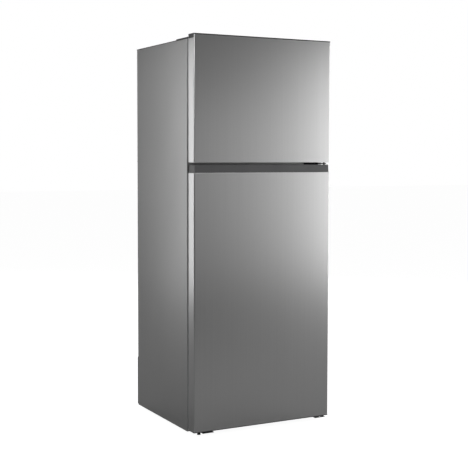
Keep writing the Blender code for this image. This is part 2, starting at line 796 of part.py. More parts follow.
def make_rear_cover(material):
    """A slotted plastic panel that closes the machine compartment."""
    reach = HALF - 0.004
    low = CABINET_BOTTOM + 0.003
    high = MACHINE_TOP + 0.012
    front = CABINET_REAR + GAP
    limits = (-reach, reach, front, CABINET_REAR + REAR_COVER_DEPTH, low, high)
    cover = box("rear_cover", limits, material)
    inside = (-reach + 0.002, reach - 0.002, front - 0.01, limits[3] - 0.002)
    cut(cover, box("rear_cover_hollow", (*inside, low + 0.002, high - 0.002)))
    slots = []
    for column in range(4):
        for row in range(6):
            x = (column - 1.5) * WIDTH * 0.22
            z = low + 0.050 + row * 0.026
            half = WIDTH * 0.085
            slots.append((x - half, x + half, limits[3] - 0.01, limits[3] + 0.01, z, z + 0.010))
    cut(cover, boxes("rear_cover_slots", slots))
    x, y, z = GLAND
    return cut(cover, rod("rear_cover_gland_hole", "Y", (x, y, z), GLAND_NECK + GAP, -0.03, 0.03))


GLAND = (-HALF + 0.050, CABINET_REAR + REAR_COVER_DEPTH, CABINET_BOTTOM + 0.028)
GLAND_NECK = 0.007


def make_gland(material):
    """Cable gland in the rear cover, its outer face flush with the cover's."""
    profile = [
        (0.004, -0.010),
        (GLAND_NECK, -0.010),
        (GLAND_NECK, 0),
        (0.004, 0),
    ]
    return turned("cord_gland", "Y", GLAND, profile, material, steps=16)


# ---- Freezer compartment ------------------------------------------------------------
FAN_Z = FREEZER_FLOOR + 0.330


def make_evaporator(material):
    """Finned block: the fins are the teeth of one comb-shaped outline."""
    half = FREEZER_HALF - 0.060
    front = EVAPORATOR_COVER_Y + 0.012
    rear = FREEZER_REAR - 0.004
    fins = 18
    pitch = 2 * half / (2 * fins - 1)
    outline = [(-half, rear), (half, rear)]
    for fin in range(fins):
        right = half - 2 * fin * pitch
        outline += [(right, front), (right - pitch, front)]
        if fin < fins - 1:
            outline += [(right - pitch, rear - 0.012), (right - 2 * pitch, rear - 0.012)]
    low = FREEZER_FLOOR + 0.020
    return prism("evaporator", "Z", outline, low, low + 0.170, material)


def make_evaporator_cover(material):
    """The freezer's rear inner wall, with the slots that the fan blows through."""
    front = EVAPORATOR_COVER_Y
    limits = (-FREEZER_HALF + GAP, FREEZER_HALF - GAP, front, front + 0.010)
    limits = (*limits, FREEZER_FLOOR + GAP, FREEZER_CEILING - GAP)
    cover = box("evaporator_cover", limits, material)
    hollow = (limits[0] + 0.0025, limits[1] - 0.0025, front + 0.0025, front + 0.02)
    cut(cover, box("evaporator_cover_hollow", (*hollow, limits[4] + 0.0025, limits[5] - 0.0025)))
    slots = []
    for row in range(7):
        z = FAN_Z + (row - 3) * 0.013
        half = math.sqrt(FAN_RADIUS**2 - (z - FAN_Z) ** 2)
        slots.append((-half, half, front - 0.01, front + 0.01, z - 0.0035, z + 0.0035))
    for column in range(6):
        x = (column - 2.5) * FREEZER_HALF * 0.28
        z = FREEZER_FLOOR + 0.022
        slots.append((x - 0.025, x + 0.025, front - 0.01, front + 0.01, z, z + 0.008))
    return cut(cover, boxes("evaporator_cover_slots", slots))


def make_fan(material):
    """Hub and five pitched blades behind the slots, on the motor's shaft."""
    y = EVAPORATOR_COVER_Y + 0.022
    middle = Vector((0, y, FAN_Z))
    pivot = make_pivot("evaporator_fan_axis", middle)
    profile = [(0, -0.007), (0.012, -0.007), (0.015, -0.003), (0.015, 0.007), (0.0035, 0.007)]
    profile += [(0.0035, 0.001), (0, 0.001)]
    fan = turned("evaporator_fan", "Y", middle, profile, material, pivot, steps=20)
    for blade in range(5):
        bm = bmesh.new()
        add_cuboid(bm, 0.012, FAN_RADIUS - 0.004, -0.0008, 0.0008, -0.012, 0.012)
        turn = Matrix.Rotation(math.radians(28), 4, "X")
        around = Matrix.Rotation(math.radians(72 * blade), 4, "Y")
        bm.transform(Matrix.Translation(middle) @ around @ turn)
        join(fan, add_piece(f"evaporator_fan_blade_{blade}", bm))
    return fan


def make_fan_motor(material):
    """Motor behind the fan on a bracket that stands off the evaporator cover."""
    y = EVAPORATOR_COVER_Y + 0.022
    reach = FAN_RADIUS + 0.020
    back = y + 0.026
    front = EVAPORATOR_COVER_Y + 0.0025 + GAP
    outline = [
        (-reach, front),
        (-reach + 0.006, front),
        (-reach + 0.006, back),
        (reach - 0.006, back),
        (reach - 0.006, front),
        (reach, front),
        (reach, back + 0.002),
        (-reach, back + 0.002),
    ]
    bracket = prism("fan_motor", "Z", outline, FAN_Z - 0.008, FAN_Z + 0.008, material)
    profile = [(0, 0.0015), (0.003, 0.0015), (0.003, 0.018), (0.020, 0.018), (0.022, 0.021)]
    profile += [(0.022, 0.041), (0.018, 0.045), (0, 0.045)]
    motor = turned("fan_motor_body", "Y", (0, y, FAN_Z), profile, steps=20)
    return join(bracket, motor)


def make_freezer_shelf(material):
    half = FREEZER_HALF - 0.0015
    rear = EVAPORATOR_COVER_Y - 0.012
    limits = (-half, half, SHELF_FRONT, rear, FREEZER_SHELF_Z, FREEZER_SHELF_Z + SHELF_GLASS)
    return box("freezer_shelf", limits, material)


ICE_LEFT = -FREEZER_HALF + 0.002
ICE_FRONT = SHELF_FRONT + 0.010
ICE_FRAME_DEPTH = EVAPORATOR_COVER_Y - ICE_REAR_CLEAR - ICE_FRONT
ICE_FLOOR = FREEZER_SHELF_Z + SHELF_GLASS + GAP
ICE_TRAY_X = ICE_LEFT + ICE_FRAME_WIDTH / 2
ICE_TRAY_Z = ICE_FLOOR + ICE_FRAME_HEIGHT - 0.034
ICE_WALL = 0.003


def make_ice_frame(material):
    """A stand for the ice tray, open below it so that the ice drops into the box."""
    limits = (ICE_LEFT, ICE_LEFT + ICE_FRAME_WIDTH, ICE_FRONT, ICE_FRONT + ICE_FRAME_DEPTH)
    limits = (*limits, ICE_FLOOR, ICE_FLOOR + ICE_FRAME_HEIGHT)
    frame = box("ice_maker_frame", limits, material)
    inside = list(grown(limits, -ICE_WALL))
    inside[4] = ICE_FLOOR - 0.01
    inside[5] = limits[5] + 0.01
    cut(frame, box("ice_frame_hollow", inside))
    mouth = (inside[0], inside[1], ICE_FRONT - 0.01, ICE_FRONT + 0.01)
    cut(frame, box("ice_frame_mouth", (*mouth, ICE_FLOOR - 0.01, ICE_FLOOR + ICE_BOX_HEIGHT + 0.006)))
    middle = (ICE_TRAY_X, ICE_FRONT, ICE_TRAY_Z)
    hole = rod("ice_frame_bearing", "Y", middle, 0.0063, -0.01, ICE_FRAME_DEPTH + 0.01)
    return cut(frame, hole)


def make_ice_tray(material):
    """Ice tray on two trunnions. Its knob turns it over to drop the ice."""
    middle = (ICE_TRAY_X, ICE_FRONT, ICE_TRAY_Z)
    pivot = make_pivot("ice_tray_axis", middle)
    half = ICE_TRAY_WIDTH / 2
    front = ICE_FRONT + ICE_WALL + 0.002
    rear = ICE_FRONT + ICE_FRAME_DEPTH - ICE_WALL - 0.002
    low = ICE_TRAY_Z - ICE_TRAY_DEPTH / 2
    high = ICE_TRAY_Z + ICE_TRAY_DEPTH / 2
    tray = box(
        "ice_tray", (ICE_TRAY_X - half, ICE_TRAY_X + half, front, rear, low, high), material, pivot
    )
    cells = []
    rows = 6
    pitch = (rear - front - 0.016) / rows
    for row in range(rows):
        y = front + 0.008 + row * pitch + 0.001
        for start in (ICE_TRAY_X - half + 0.003, ICE_TRAY_X + 0.001):
            end = start + half - 0.004
            cells.append((start, end, y, y + pitch - 0.002, low + 0.0025, high + 0.01))
    cut(tray, boxes("ice_tray_cells", cells))
    tail = ICE_FRAME_DEPTH + 0.002
    pin = 0.006
    join(tray, rod("ice_tray_front_pin", "Y", middle, pin, -0.004, 0.008, steps=16))
    join(tray, rod("ice_tray_rear_pin", "Y", middle, pin, tail - 0.010, tail, steps=16))
    knob = rod("ice_tray_knob", "Y", middle, 0.014, -0.010, -0.001, steps=20)
    return join(tray, knob)


def open_bin(name, limits, wall, material, pivot):
    """A moulded bin, open at the top."""
    tub = box(name, limits, material, pivot)
    hollow = list(grown(limits, -wall))
    hollow[5] = limits[5] + 0.01
    return cut(tub, box(name + "_hollow", hollow))


def make_ice_box(material):
    pivot = make_pivot("ice_box_slide", (ICE_TRAY_X, ICE_FRONT, ICE_FLOOR))
    limits = (ICE_LEFT + ICE_WALL + 0.002, ICE_LEFT + ICE_FRAME_WIDTH - ICE_WALL - 0.002)
    limits = (*limits, ICE_FRONT + 0.002, ICE_FRONT + ICE_FRAME_DEPTH - 0.010)
    return open_bin("ice_box", (*limits, ICE_FLOOR, ICE_FLOOR + ICE_BOX_HEIGHT), 0.002, material, pivot)


# ---- Fridge compartment -------------------------------------------------------------
def make_shelves(material):
    half = FRIDGE_HALF - 0.0015
    for name, z in SHELF_PLACES.items():
        limits = (-half, half, SHELF_FRONT, SHELF_REAR, z, z + SHELF_GLASS)
        box(f"glass_shelf_{name}", limits, material)
    limits = (-half, half, SHELF_FRONT, SHELF_REAR, CRISPER_COVER_Z)
    box("crisper_cover", (*limits, CRISPER_COVER_Z + SHELF_GLASS), material)


def make_crisper(material):
    """A wide drawer, stepped at the rear to clear the machine compartment."""
    half = FRIDGE_HALF - LEDGE - 0.0015
    front = CABINET_FRONT + CRISPER_SETBACK
    low = FRIDGE_FLOOR + GAP
    high = CRISPER_COVER_Z - 0.004
    rear = STEP_FRONT - 0.003
    shoulder = STEP_TOP + GAP
    end = SHELF_REAR - 0.010
    pivot = make_pivot("crisper_slide", (0, front, low))
    outline = [(front, low), (rear, low), (rear, shoulder), (end, shoulder), (end, high), (front, high)]
    drawer = prism("crisper_drawer", "X", outline, -half, half, material, pivot)
    w = CRISPER_WALL
    over = high + 0.01
    hollow = [
        (front + w, low + w),
        (rear - w, low + w),
        (rear - w, shoulder + w),
        (end - w, shoulder + w),
        (end - w, over),
        (front + w, over),
    ]
    cut(drawer, prism("crisper_hollow", "X", hollow, -half + w, half - w))
    grip = (-0.090, 0.090, front - 0.01, front + 0.012, high - 0.022, high - 0.010)
    return cut(drawer, box("crisper_grip", grip))


def make_air_duct(material):
    """The air duct on the rear wall, with an outlet for each shelf space."""
    low = STEP_TOP + 0.075
    high = FRIDGE_CEILING - CONTROL_HEIGHT - 0.006
    half = DUCT_WIDTH / 2
    limits = (-half, half, DUCT_FRONT, FRIDGE_REAR - GAP, low, high)
    duct = box("air_duct", limits, material)
    slots = []
    for shelf in SHELF_PLACES.values():
        z = shelf - 0.060
        for x in (-0.075, 0.025):
            slots.append((x, x + 0.050, DUCT_FRONT - 0.01, DUCT_FRONT + 0.012, z, z + 0.008))
    return cut(duct, boxes("air_duct_outlets", slots))


CONTROL_FRONT = CABINET_FRONT + 0.170
KNOB_X = 0.075
LENS_X = -0.055


def make_controls(body, clear, dial):
    """The housing under the fridge's ceiling, its lamp lens and its thermostat knob."""
    half = CONTROL_WIDTH / 2
    low = FRIDGE_CEILING - CONTROL_HEIGHT
    front = CONTROL_FRONT
    limits = (-half, half, front, DUCT_FRONT, low, FRIDGE_CEILING - GAP)
    housing = box("control_housing", limits, body)
    lens = (LENS_X - 0.050, LENS_X + 0.050, front + 0.020, front + 0.100, low - 0.006, low + 0.008)
    cut(housing, box("control_lens_seat", grown(lens, GAP)))
    box("lamp_lens", lens, clear, bevel=0.002)
    z = low + CONTROL_HEIGHT / 2
    middle = (KNOB_X, front, z)
    hole = rod("control_knob_hole", "Y", middle, 0.004 + GAP, -0.01, 0.012)
    cut(housing, hole)
    pivot = make_pivot("temperature_knob_axis", middle)
    r = KNOB_RADIUS
    start = -KNOB_LENGTH - GAP
    profile = [(0, start), (r - 0.003, start), (r - 0.001, start + 0.002), (r, -GAP)]
    profile += [(0.004, -GAP), (0.004, 0.010), (0, 0.010)]
    knob = turned("temperature_knob", "Y", middle, profile, dial, pivot, steps=24)
    pointer = (KNOB_X - 0.002, KNOB_X + 0.002, front + start - 0.003, front + start + 0.004)
    pointer = box("temperature_knob_pointer", (*pointer, z - 0.004, z + r - 0.003), None, pivot)
    join(knob, pointer)


# ---- Doors --------------------------------------------------------------------------
FREEZER_AXIS = (HINGE_X, HINGE_Y, FREEZER_DOOR_BOTTOM)
FRIDGE_AXIS = (HINGE_X, HINGE_Y, DOOR_BOTTOM)
SKIN_BACK = DOOR_BACK - LINER - GAP
CORNER = 0.003


def make_skin(name, low, high, material, pivot):
    """Steel sheet folded round the door's front and its two sides."""
    inner = CORNER - SHEET
    left = (-HALF + CORNER, DOOR_FRONT + CORNER)
    right = (HALF - CORNER, DOOR_FRONT + CORNER)
    outline = [(-HALF, SKIN_BACK)]
    outline += arc(left, CORNER, 180, 270, 4)
    outline += arc(right, CORNER, 270, 360, 4)
    outline += [(HALF, SKIN_BACK), (HALF - SHEET, SKIN_BACK)]
    outline += arc(right, inner, 360, 270, 4)
    outline += arc(left, inner, 270, 180, 4)
    outline += [(-HALF + SHEET, SKIN_BACK)]
    return prism(name, "Z", outline, low, high, material, pivot)


def cap_core(low, high):
    """The limits of the part of a door cap that sits inside the skin."""
    inside = HALF - SKIN_CLEAR
    return (-inside, inside, DOOR_FRONT + SKIN_CLEAR + 0.001, SKIN_BACK, low, high)


def pin_bore(name, low, high):
    """Cutter for the bore that a hinge pin turns in."""
    return rod(name, "Z", (HINGE_X, HINGE_Y, 0), HINGE_PIN + GAP, low, high)


def make_top_cap(material, pivot):
    """Moulded end cap, cut away at the rear right corner for the top hinge."""
    shoulder = DOOR_TOP - TOP_CAP_HEIGHT
    core_low = DOOR_TOP - DOOR_RISE - CAP_DEPTH + 0.012
    cap = box("freezer_top_cap", cap_core(core_low, shoulder + 0.001), material, pivot)
    front = DOOR_FRONT + SKIN_CLEAR
    limits = (-HALF, HALF, front, SKIN_BACK, shoulder, DOOR_TOP - TOP_CAP_LIP + 0.001)
    join(cap, box("top_cap_sides", limits))
    lip = (-HALF, HALF, DOOR_FRONT, DOOR_BACK, DOOR_TOP - TOP_CAP_LIP, DOOR_TOP)
    join(cap, box("top_cap_lip", lip))
    recess = (HINGE_X - HINGE_ARM / 2 - 0.004, HALF + 0.01)
    recess = (*recess, HINGE_Y - HINGE_RECESS_FRONT, DOOR_BACK + 0.01)
    cut(cap, box("top_cap_recess", (*recess, CABINET_TOP - 0.001, DOOR_TOP + 0.01)))
    return cut(cap, pin_bore("top_cap_bore", CABINET_TOP - HINGE_PIN_LENGTH - 0.001, DOOR_TOP))


def pocket_limits(front, low, high):
    reach = POCKET_WIDTH / 2
    return (-reach, reach, front, front + POCKET_BACK, low, high)


def make_freezer_bottom_cap(material, pivot):
    """End cap with the finger pocket that the freezer door is pulled open by."""
    low = FREEZER_DOOR_BOTTOM
    cap = box("freezer_bottom_cap", cap_core(low, low + CAP_DEPTH), material, pivot)
    pocket = pocket_limits(DOOR_FRONT + 0.010, low - 0.01, low + POCKET_DEPTH)
    cut(cap, box("freezer_pocket", pocket))
    return cut(cap, pin_bore("freezer_cap_bore", low - 0.01, low + HINGE_PIN_LENGTH + 0.002))


def make_grip(material, pivot):
    """The dark strip along the fridge door's top edge, with a finger pocket behind it."""
    low = FRIDGE_DOOR_TOP - GRIP_HEIGHT
    high = FRIDGE_DOOR_TOP
    front = DOOR_FRONT + GRIP_SETBACK
    outline = [(front, low + GAP), (DOOR_BACK, low + GAP), (DOOR_BACK, high), (front + GRIP_SLOPE, high)]
    reach = HALF - GRIP_END_INSET
    grip = prism("fridge_grip", "X", outline, -reach, reach, material, pivot)
    join(grip, box("grip_core", cap_core(low - 0.012, low + 0.001)))
    pocket = pocket_limits(DOOR_FRONT + 0.014, high - POCKET_DEPTH, high + 0.01)
    cut(grip, box("grip_pocket", pocket))
    return cut(grip, pin_bore("grip_bore", high - HINGE_PIN_LENGTH - 0.002, high + 0.01))


def make_fridge_bottom_cap(material, pivot):
    low = DOOR_BOTTOM
    lip = low + BOTTOM_CAP_LIP
    cap = box("fridge_bottom_cap", cap_core(lip - 0.001, low + CAP_DEPTH), material, pivot)
    join(cap, box("bottom_cap_lip", (-HALF, HALF, DOOR_FRONT + 0.0005, DOOR_BACK, low, lip)))
    return cut(cap, pin_bore("bottom_cap_bore", low - 0.01, low + HINGE_PIN_LENGTH + 0.002))


def make_door_foam(name, low, high, material, pivot):
    inside = HALF - SKIN_CLEAR - 0.001
    front = DOOR_FRONT + SKIN_CLEAR + 0.001
    limits = (-inside, inside, front, SKIN_BACK, low + GAP, high - GAP)
    return box(name, limits, material, pivot)


def make_door_liner(name, low, high, opening, material, pivot):
    """The door's inner face, with a raised wall that stands inside the compartment."""
    reach = HALF - 0.0005
    plate = (-reach, reach, DOOR_BACK - LINER, DOOR_BACK, low + GAP, high - GAP)
    liner = box(name, plate, material, pivot)
    half, floor, ceiling = opening
    outer = (-half + PLUG_MARGIN, half - PLUG_MARGIN)
    outer = (*outer, DOOR_BACK - LINER / 2, DOOR_BACK + PLUG_DEPTH)
    outer = (*outer, floor + PLUG_MARGIN, ceiling - PLUG_MARGIN)
    join(liner, box(name + "_wall", outer))
    inner = list(grown(outer, -PLUG_WALL))
    inner[2] = DOOR_BACK
    inner[3] = DOOR_BACK + PLUG_DEPTH + 0.01
    cut(liner, box(name + "_inside", inner))
    return inner


def make_gasket(name, low, high, material, pivot):
    """Magnetic seal round the door's inner face, just short of the cabinet's front."""
    reach = HALF - GASKET_INSET
    limits = (-reach, reach, DOOR_BACK + GAP, CABINET_FRONT - 0.0005, low, high)
    gasket = box(name, limits, material, pivot)
    inner = list(grown(limits, -GASKET_WIDTH))
    inner[2] = DOOR_BACK - 0.01
    inner[3] = CABINET_FRONT + 0.01
    return cut(gasket, box(name + "_inside", inner))


def make_door_bin(name, inside, low, height, material, pivot):
    """A bin between the raised side walls of a door's inner face."""
    limits = (inside[0] + GAP, inside[1] - GAP, DOOR_BACK + GAP, DOOR_BACK + BIN_DEPTH)
    limits = (*limits, low, low + height)
    open_bin(name, limits, BIN_WALL, material, pivot)
    return limits


def make_freezer_door(steel, dark, foam, white, seal, clear):
    pivot = make_pivot("freezer_door_axis", FREEZER_AXIS)
    high = DOOR_TOP - TOP_CAP_LIP - GAP
    skin = make_skin("freezer_door_skin", FREEZER_DOOR_BOTTOM, high, steel, pivot)
    behind = (-HALF - 0.01, HALF + 0.01, DOOR_FRONT + SHEET, DOOR_BACK)
    notch = (*behind, DOOR_TOP - TOP_CAP_HEIGHT - GAP, DOOR_TOP)
    cut(skin, box("skin_side_notch", notch))
    make_top_cap(dark, pivot)
    make_freezer_bottom_cap(dark, pivot)
    foam_low = FREEZER_DOOR_BOTTOM + CAP_DEPTH
    foam_high = DOOR_TOP - DOOR_RISE - CAP_DEPTH + 0.012
    make_door_foam("freezer_door_foam", foam_low, foam_high, foam, pivot)
    opening = (FREEZER_HALF, FREEZER_FLOOR, FREEZER_CEILING)
    high = DOOR_TOP - TOP_CAP_LIP
    inside = make_door_liner("freezer_door_liner", FREEZER_DOOR_BOTTOM, high, opening, white, pivot)
    recess = (HINGE_X - HINGE_ARM / 2 - 0.004, HALF + 0.01, DOOR_BACK - 0.01, DOOR_BACK + 0.01)
    liner = bpy.data.objects["freezer_door_liner"]
    cut(liner, box("freezer_liner_recess", (*recess, CABINET_TOP - 0.001, DOOR_TOP)))
    low = FREEZER_DOOR_BOTTOM + 0.010
    make_gasket("freezer_gasket", low, DOOR_TOP - 2 * DOOR_RISE, seal, pivot)
    for name, fraction in (("lower", 0.0), ("upper", 0.52)):
        low = inside[4] + 0.004 + fraction * (inside[5] - inside[4])
        make_door_bin(f"freezer_bin_{name}", inside, low, 0.085, clear, pivot)


def make_fridge_door(steel, dark, foam, white, seal, clear):
    pivot = make_pivot("fridge_door_axis", FRIDGE_AXIS)
    low = DOOR_BOTTOM + BOTTOM_CAP_LIP + GAP
    high = FRIDGE_DOOR_TOP - GRIP_HEIGHT
    make_skin("fridge_door_skin", low, high, steel, pivot)
    make_grip(dark, pivot)
    make_fridge_bottom_cap(dark, pivot)
    make_door_foam("fridge_door_foam", DOOR_BOTTOM + CAP_DEPTH, high - 0.012, foam, pivot)
    opening = (FRIDGE_HALF, FRIDGE_FLOOR, FRIDGE_CEILING)
    low = DOOR_BOTTOM + BOTTOM_CAP_LIP
    inside = make_door_liner("fridge_door_liner", low, high, opening, white, pivot)
    low = DOOR_BOTTOM + 0.014
    make_gasket("fridge_gasket", low, FRIDGE_DOOR_TOP - 0.010, seal, pivot)
    make_door_bin("bottle_bin", inside, inside[4] + 0.004, 0.130, clear, pivot)
    make_door_bin("door_bin", inside, inside[4] + 0.400, 0.090, clear, pivot)
    dairy = make_door_bin("dairy_bin", inside, inside[5] - 0.210, 0.100, clear, pivot)
    make_dairy_lid(inside, dairy, clear, pivot)


def make_dairy_lid(inside, dairy, material, door):
    """Flap over the dairy bin, turning at its rear edge between the raised door walls."""
    top = dairy[5]
    y = DOOR_BACK + 0.016
    z = top + LID_RISE
    pivot = make_pivot("dairy_lid_axis", (-HINGE_X, y - HINGE_Y, z - DOOR_BOTTOM))
    pivot.parent = door
    left = inside[0] + 0.001
    right = inside[1] - 0.001
    front = DOOR_BACK + BIN_DEPTH - 0.002
    thick = LID_WALL
    outline = [
        (y - 0.004, z - 0.001),
        (y - 0.004, z + 0.004),
        (front, z + 0.004),
        (front, top + 0.004),
        (front - thick, top + 0.004),
        (front - thick, z + 0.004 - thick),
        (y + 0.006, z + 0.004 - thick),
        (y + 0.006, z - 0.001),
    ]
    bm = bmesh.new()
    face = bm.faces.new([bm.verts.new((left, a, b)) for a, b in outline])
    part = bmesh.ops.extrude_face_region(bm, geom=[face])
    moved = [g for g in part["geom"] if isinstance(g, bmesh.types.BMVert)]
    bmesh.ops.translate(bm, vec=(right - left, 0, 0), verts=moved)
    lid = add_piece("dairy_lid", bm, material)
    lid.parent = pivot
    lid.location = lid.location - Vector((0, y, z))
    return lid


# ---- Everything ---------------------------------------------------------------------
def build():
    for obj in list(bpy.data.objects):
        bpy.data.objects.remove(obj, do_unlink=True)

    painted = make_material("painted grey steel", (0.24, 0.24, 0.25), 0.38, 0.3)
    brushed = make_material("brushed stainless steel", (0.55, 0.55, 0.56), 0.3, 1.0)
    zinc = make_material("galvanised sheet", (0.45, 0.46, 0.47), 0.45, 1.0)
    dark = make_material("dark grey moulding", (0.06, 0.06, 0.065), 0.45)
    black = make_material("black enamel", (0.01, 0.01, 0.012), 0.35)
    white = make_material("white polystyrene", (0.82, 0.83, 0.84), 0.3)
    foam = make_material("polyurethane foam", (0.75, 0.66, 0.42), 0.9)
    glass = make_material("toughened glass", (0.75, 0.85, 0.84), 0.05, 0.0, 0.35)
    clear = make_material("clear polystyrene", (0.80, 0.86, 0.90), 0.08, 0.0, 0.35)
    seal = make_material("grey gasket vinyl", (0.30, 0.30, 0.31), 0.6)
    rubber = make_material("black rubber", (0.015, 0.015, 0.015), 0.7)
    copper = make_material("painted tube", (0.03, 0.03, 0.03), 0.4)
    alloy = make_material("aluminium fins", (0.72, 0.73, 0.74), 0.35, 1.0)
    nylon = make_material("grey nylon", (0.20, 0.20, 0.21), 0.5)

    make_side_panel("side_panel_left", -1, painted)
    make_side_panel("side_panel_right", 1, painted)
    make_top_panel(painted)
    make_rear_panel(zinc)
    make_bottom_panel(zinc)
    make_centre_rail(painted)
    make_foam(foam)
    make_liners(white)

    for foot in FEET:
        make_foot(foot, rubber)
    left = -HALF + FOOT_INSET_LEFT - 0.024
    front = DOOR_FRONT + HINGE_INSET_Y - 0.010
    make_bracket("foot_bracket", FEET[0], left, left + BRACKET_WIDTH, front, black)
    make_lower_hinge(black)
    make_middle_hinge(black)
    make_top_hinge(zinc)
    make_hinge_cover(dark)

    make_deck(zinc)
    for side, x, y in roller_places():
        make_roller(side, x, y, nylon)
    make_compressor(black)
    make_terminal_cover(dark)
    make_drain_pan(dark)
    make_condenser(copper)
    make_rear_cover(dark)
    make_gland(rubber)

    make_evaporator(alloy)
    make_evaporator_cover(white)
    make_fan_motor(dark)
    make_fan(nylon)
    make_freezer_shelf(glass)
    make_ice_frame(white)
    make_ice_tray(nylon)
    make_ice_box(clear)

    make_shelves(glass)
    make_crisper(clear)
    make_air_duct(white)
    make_controls(white, clear, dark)

    make_freezer_door(brushed, dark, foam, white, seal, clear)
    make_fridge_door(brushed, dark, foam, white, seal, clear)


build()
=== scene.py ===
import math

import bpy
from mathutils import Matrix, Vector


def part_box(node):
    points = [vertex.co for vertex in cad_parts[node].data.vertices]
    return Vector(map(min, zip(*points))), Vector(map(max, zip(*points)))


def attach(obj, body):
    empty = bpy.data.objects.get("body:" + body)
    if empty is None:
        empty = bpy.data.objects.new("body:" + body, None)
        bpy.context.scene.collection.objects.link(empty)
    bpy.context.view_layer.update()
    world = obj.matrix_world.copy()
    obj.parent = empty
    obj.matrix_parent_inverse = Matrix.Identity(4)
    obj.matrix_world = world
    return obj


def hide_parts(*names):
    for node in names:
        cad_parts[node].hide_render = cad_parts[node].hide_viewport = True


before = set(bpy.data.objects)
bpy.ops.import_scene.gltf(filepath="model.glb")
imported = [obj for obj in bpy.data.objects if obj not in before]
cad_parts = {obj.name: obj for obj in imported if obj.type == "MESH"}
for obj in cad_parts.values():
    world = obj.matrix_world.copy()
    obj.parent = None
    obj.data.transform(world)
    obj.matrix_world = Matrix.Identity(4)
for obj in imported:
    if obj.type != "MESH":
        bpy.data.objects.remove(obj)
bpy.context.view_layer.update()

cabinetBody = "cabinet"
freezerDoorBody = "freezer_door"
fridgeDoorBody = "fridge_door"
clearance = 0.0003  # what touching pieces keep between them
hair = 1e-5  # places nearer than this count as the same
merge = 0.00002  # vertices nearer than this become one


def both(a, b, test):
    # whether both ends of an edge pass a test
    return test(a) and test(b)


def linearColour(text):
    # an sRGB hex value, such as "8A8C8F", as the linear colour that a shader takes
    parts = [int(text[i:i + 2], 16) / 255 for i in (0, 2, 4)]
    return [p / 12.92 if p <= 0.04045 else ((p + 0.055) / 1.055) ** 2.4 for p in parts] + [1.0]


def addNode(tree, kind, settings=None, links=None):
    # one node, with its fields and input values set and its inputs linked
    node = tree.nodes.new(kind)
    for key, value in (settings or {}).items():
        if key in node.inputs:
            node.inputs[key].default_value = value
        else:
            setattr(node, key, value)
    for key, source in (links or {}).items():
        tree.links.new(source, node.inputs[key])
    return node


def newMaterial(name, slot, base, **settings):
    # a Principled material; settings go on the shader's own sockets
    material = bpy.data.materials.new(name)
    material.use_nodes = True
    tree = material.node_tree
    shader = tree.nodes["Principled BSDF"]
    shader.inputs["Base Color"].default_value = linearColour(base)
    for key, value in settings.items():
        shader.inputs[key].default_value = value
    where = addNode(tree, "ShaderNodeTexCoord")
    place = where.outputs["Object"]
    return {"material": material, "slot": slot, "tree": tree, "shader": shader, "where": place}


def stretched(finish, scale):
    # object coordinates, scaled so that a pattern repeats every 1/scale metres
    links = {"Vector": finish["where"]}
    return addNode(finish["tree"], "ShaderNodeMapping", {"Scale": scale}, links).outputs["Vector"]


def noiseOn(finish, scale, detail, roughness=0.5):
    # soft noise, with more fine detail as detail and roughness rise
    links = {"Vector": stretched(finish, scale)}
    settings = {"Scale": 1.0, "Detail": detail, "Roughness": roughness}
    return addNode(finish["tree"], "ShaderNodeTexNoise", settings, links).outputs["Fac"]


def ranged(finish, value, low, high):
    # a value from 0 to 1, made to go from low to high
    settings = {"To Min": low, "To Max": high}
    return addNode(finish["tree"], "ShaderNodeMapRange", settings, {"Value": value}).outputs["Result"]


def tinted(finish, value, dark, light):
    # colour that goes from dark to light with the value
    ramp = addNode(finish["tree"], "ShaderNodeValToRGB", None, {"Fac": value})
    ramp.color_ramp.elements[0].color = linearColour(dark)
    ramp.color_ramp.elements[1].color = linearColour(light)
    finish["tree"].links.new(ramp.outputs["Color"], finish["shader"].inputs["Base Color"])


def roughened(finish, value, low, high):
    # gloss that varies between two roughnesses
    finish["tree"].links.new(ranged(finish, value, low, high), finish["shader"].inputs["Roughness"])


def bumped(finish, height, distance, strength):
    # relief of that depth in metres
    settings = {"Distance": distance, "Strength": strength}
    bump = addNode(finish["tree"], "ShaderNodeBump", settings, {"Height": height})
    finish["tree"].links.new(bump.outputs["Normal"], finish["shader"].inputs["Normal"])


def brushedStainless():
    # stainless sheet, brushed upright: reflections are soft and smear sideways
    finish = newMaterial(
        "brushedStainlessSheet", "brushed_skin", "C2C2C2", Metallic=1.0, Roughness=0.3, Anisotropic=0.5
    )
    hairMm = 1.8  # real hairlines are about 0.1 mm, drawn coarser so that they show
    lines = noiseOn(finish, (1000 / hairMm, 1000 / hairMm, 1.2), detail=3.0, roughness=0.6)
    cloud = noiseOn(finish, (1.5, 1.5, 0.8), detail=1.0)
    tinted(finish, lines, "BCBCBC", "C8C8C8")
    roughened(finish, cloud, low=0.272, high=0.284)
    bumped(finish, lines, distance=0.000004, strength=0.05)
    return finish


def prePaintedSteel():
    # coil-coated sheet: satin metallic paint with a faint orange peel
    finish = newMaterial("prePaintedSteelSheet", "painted_steel", "A8A8A8", Metallic=0.8, Roughness=0.3)
    peelMm = 3.0
    peel = noiseOn(finish, (1000 / peelMm,) * 3, detail=2.0)
    cloud = noiseOn(finish, (3.0, 3.0, 2.0), detail=2.0)
    tinted(finish, cloud, "A2A2A2", "AEAEAE")
    roughened(finish, peel, low=0.27, high=0.33)
    bumped(finish, peel, distance=0.00008, strength=0.25)
    return finish


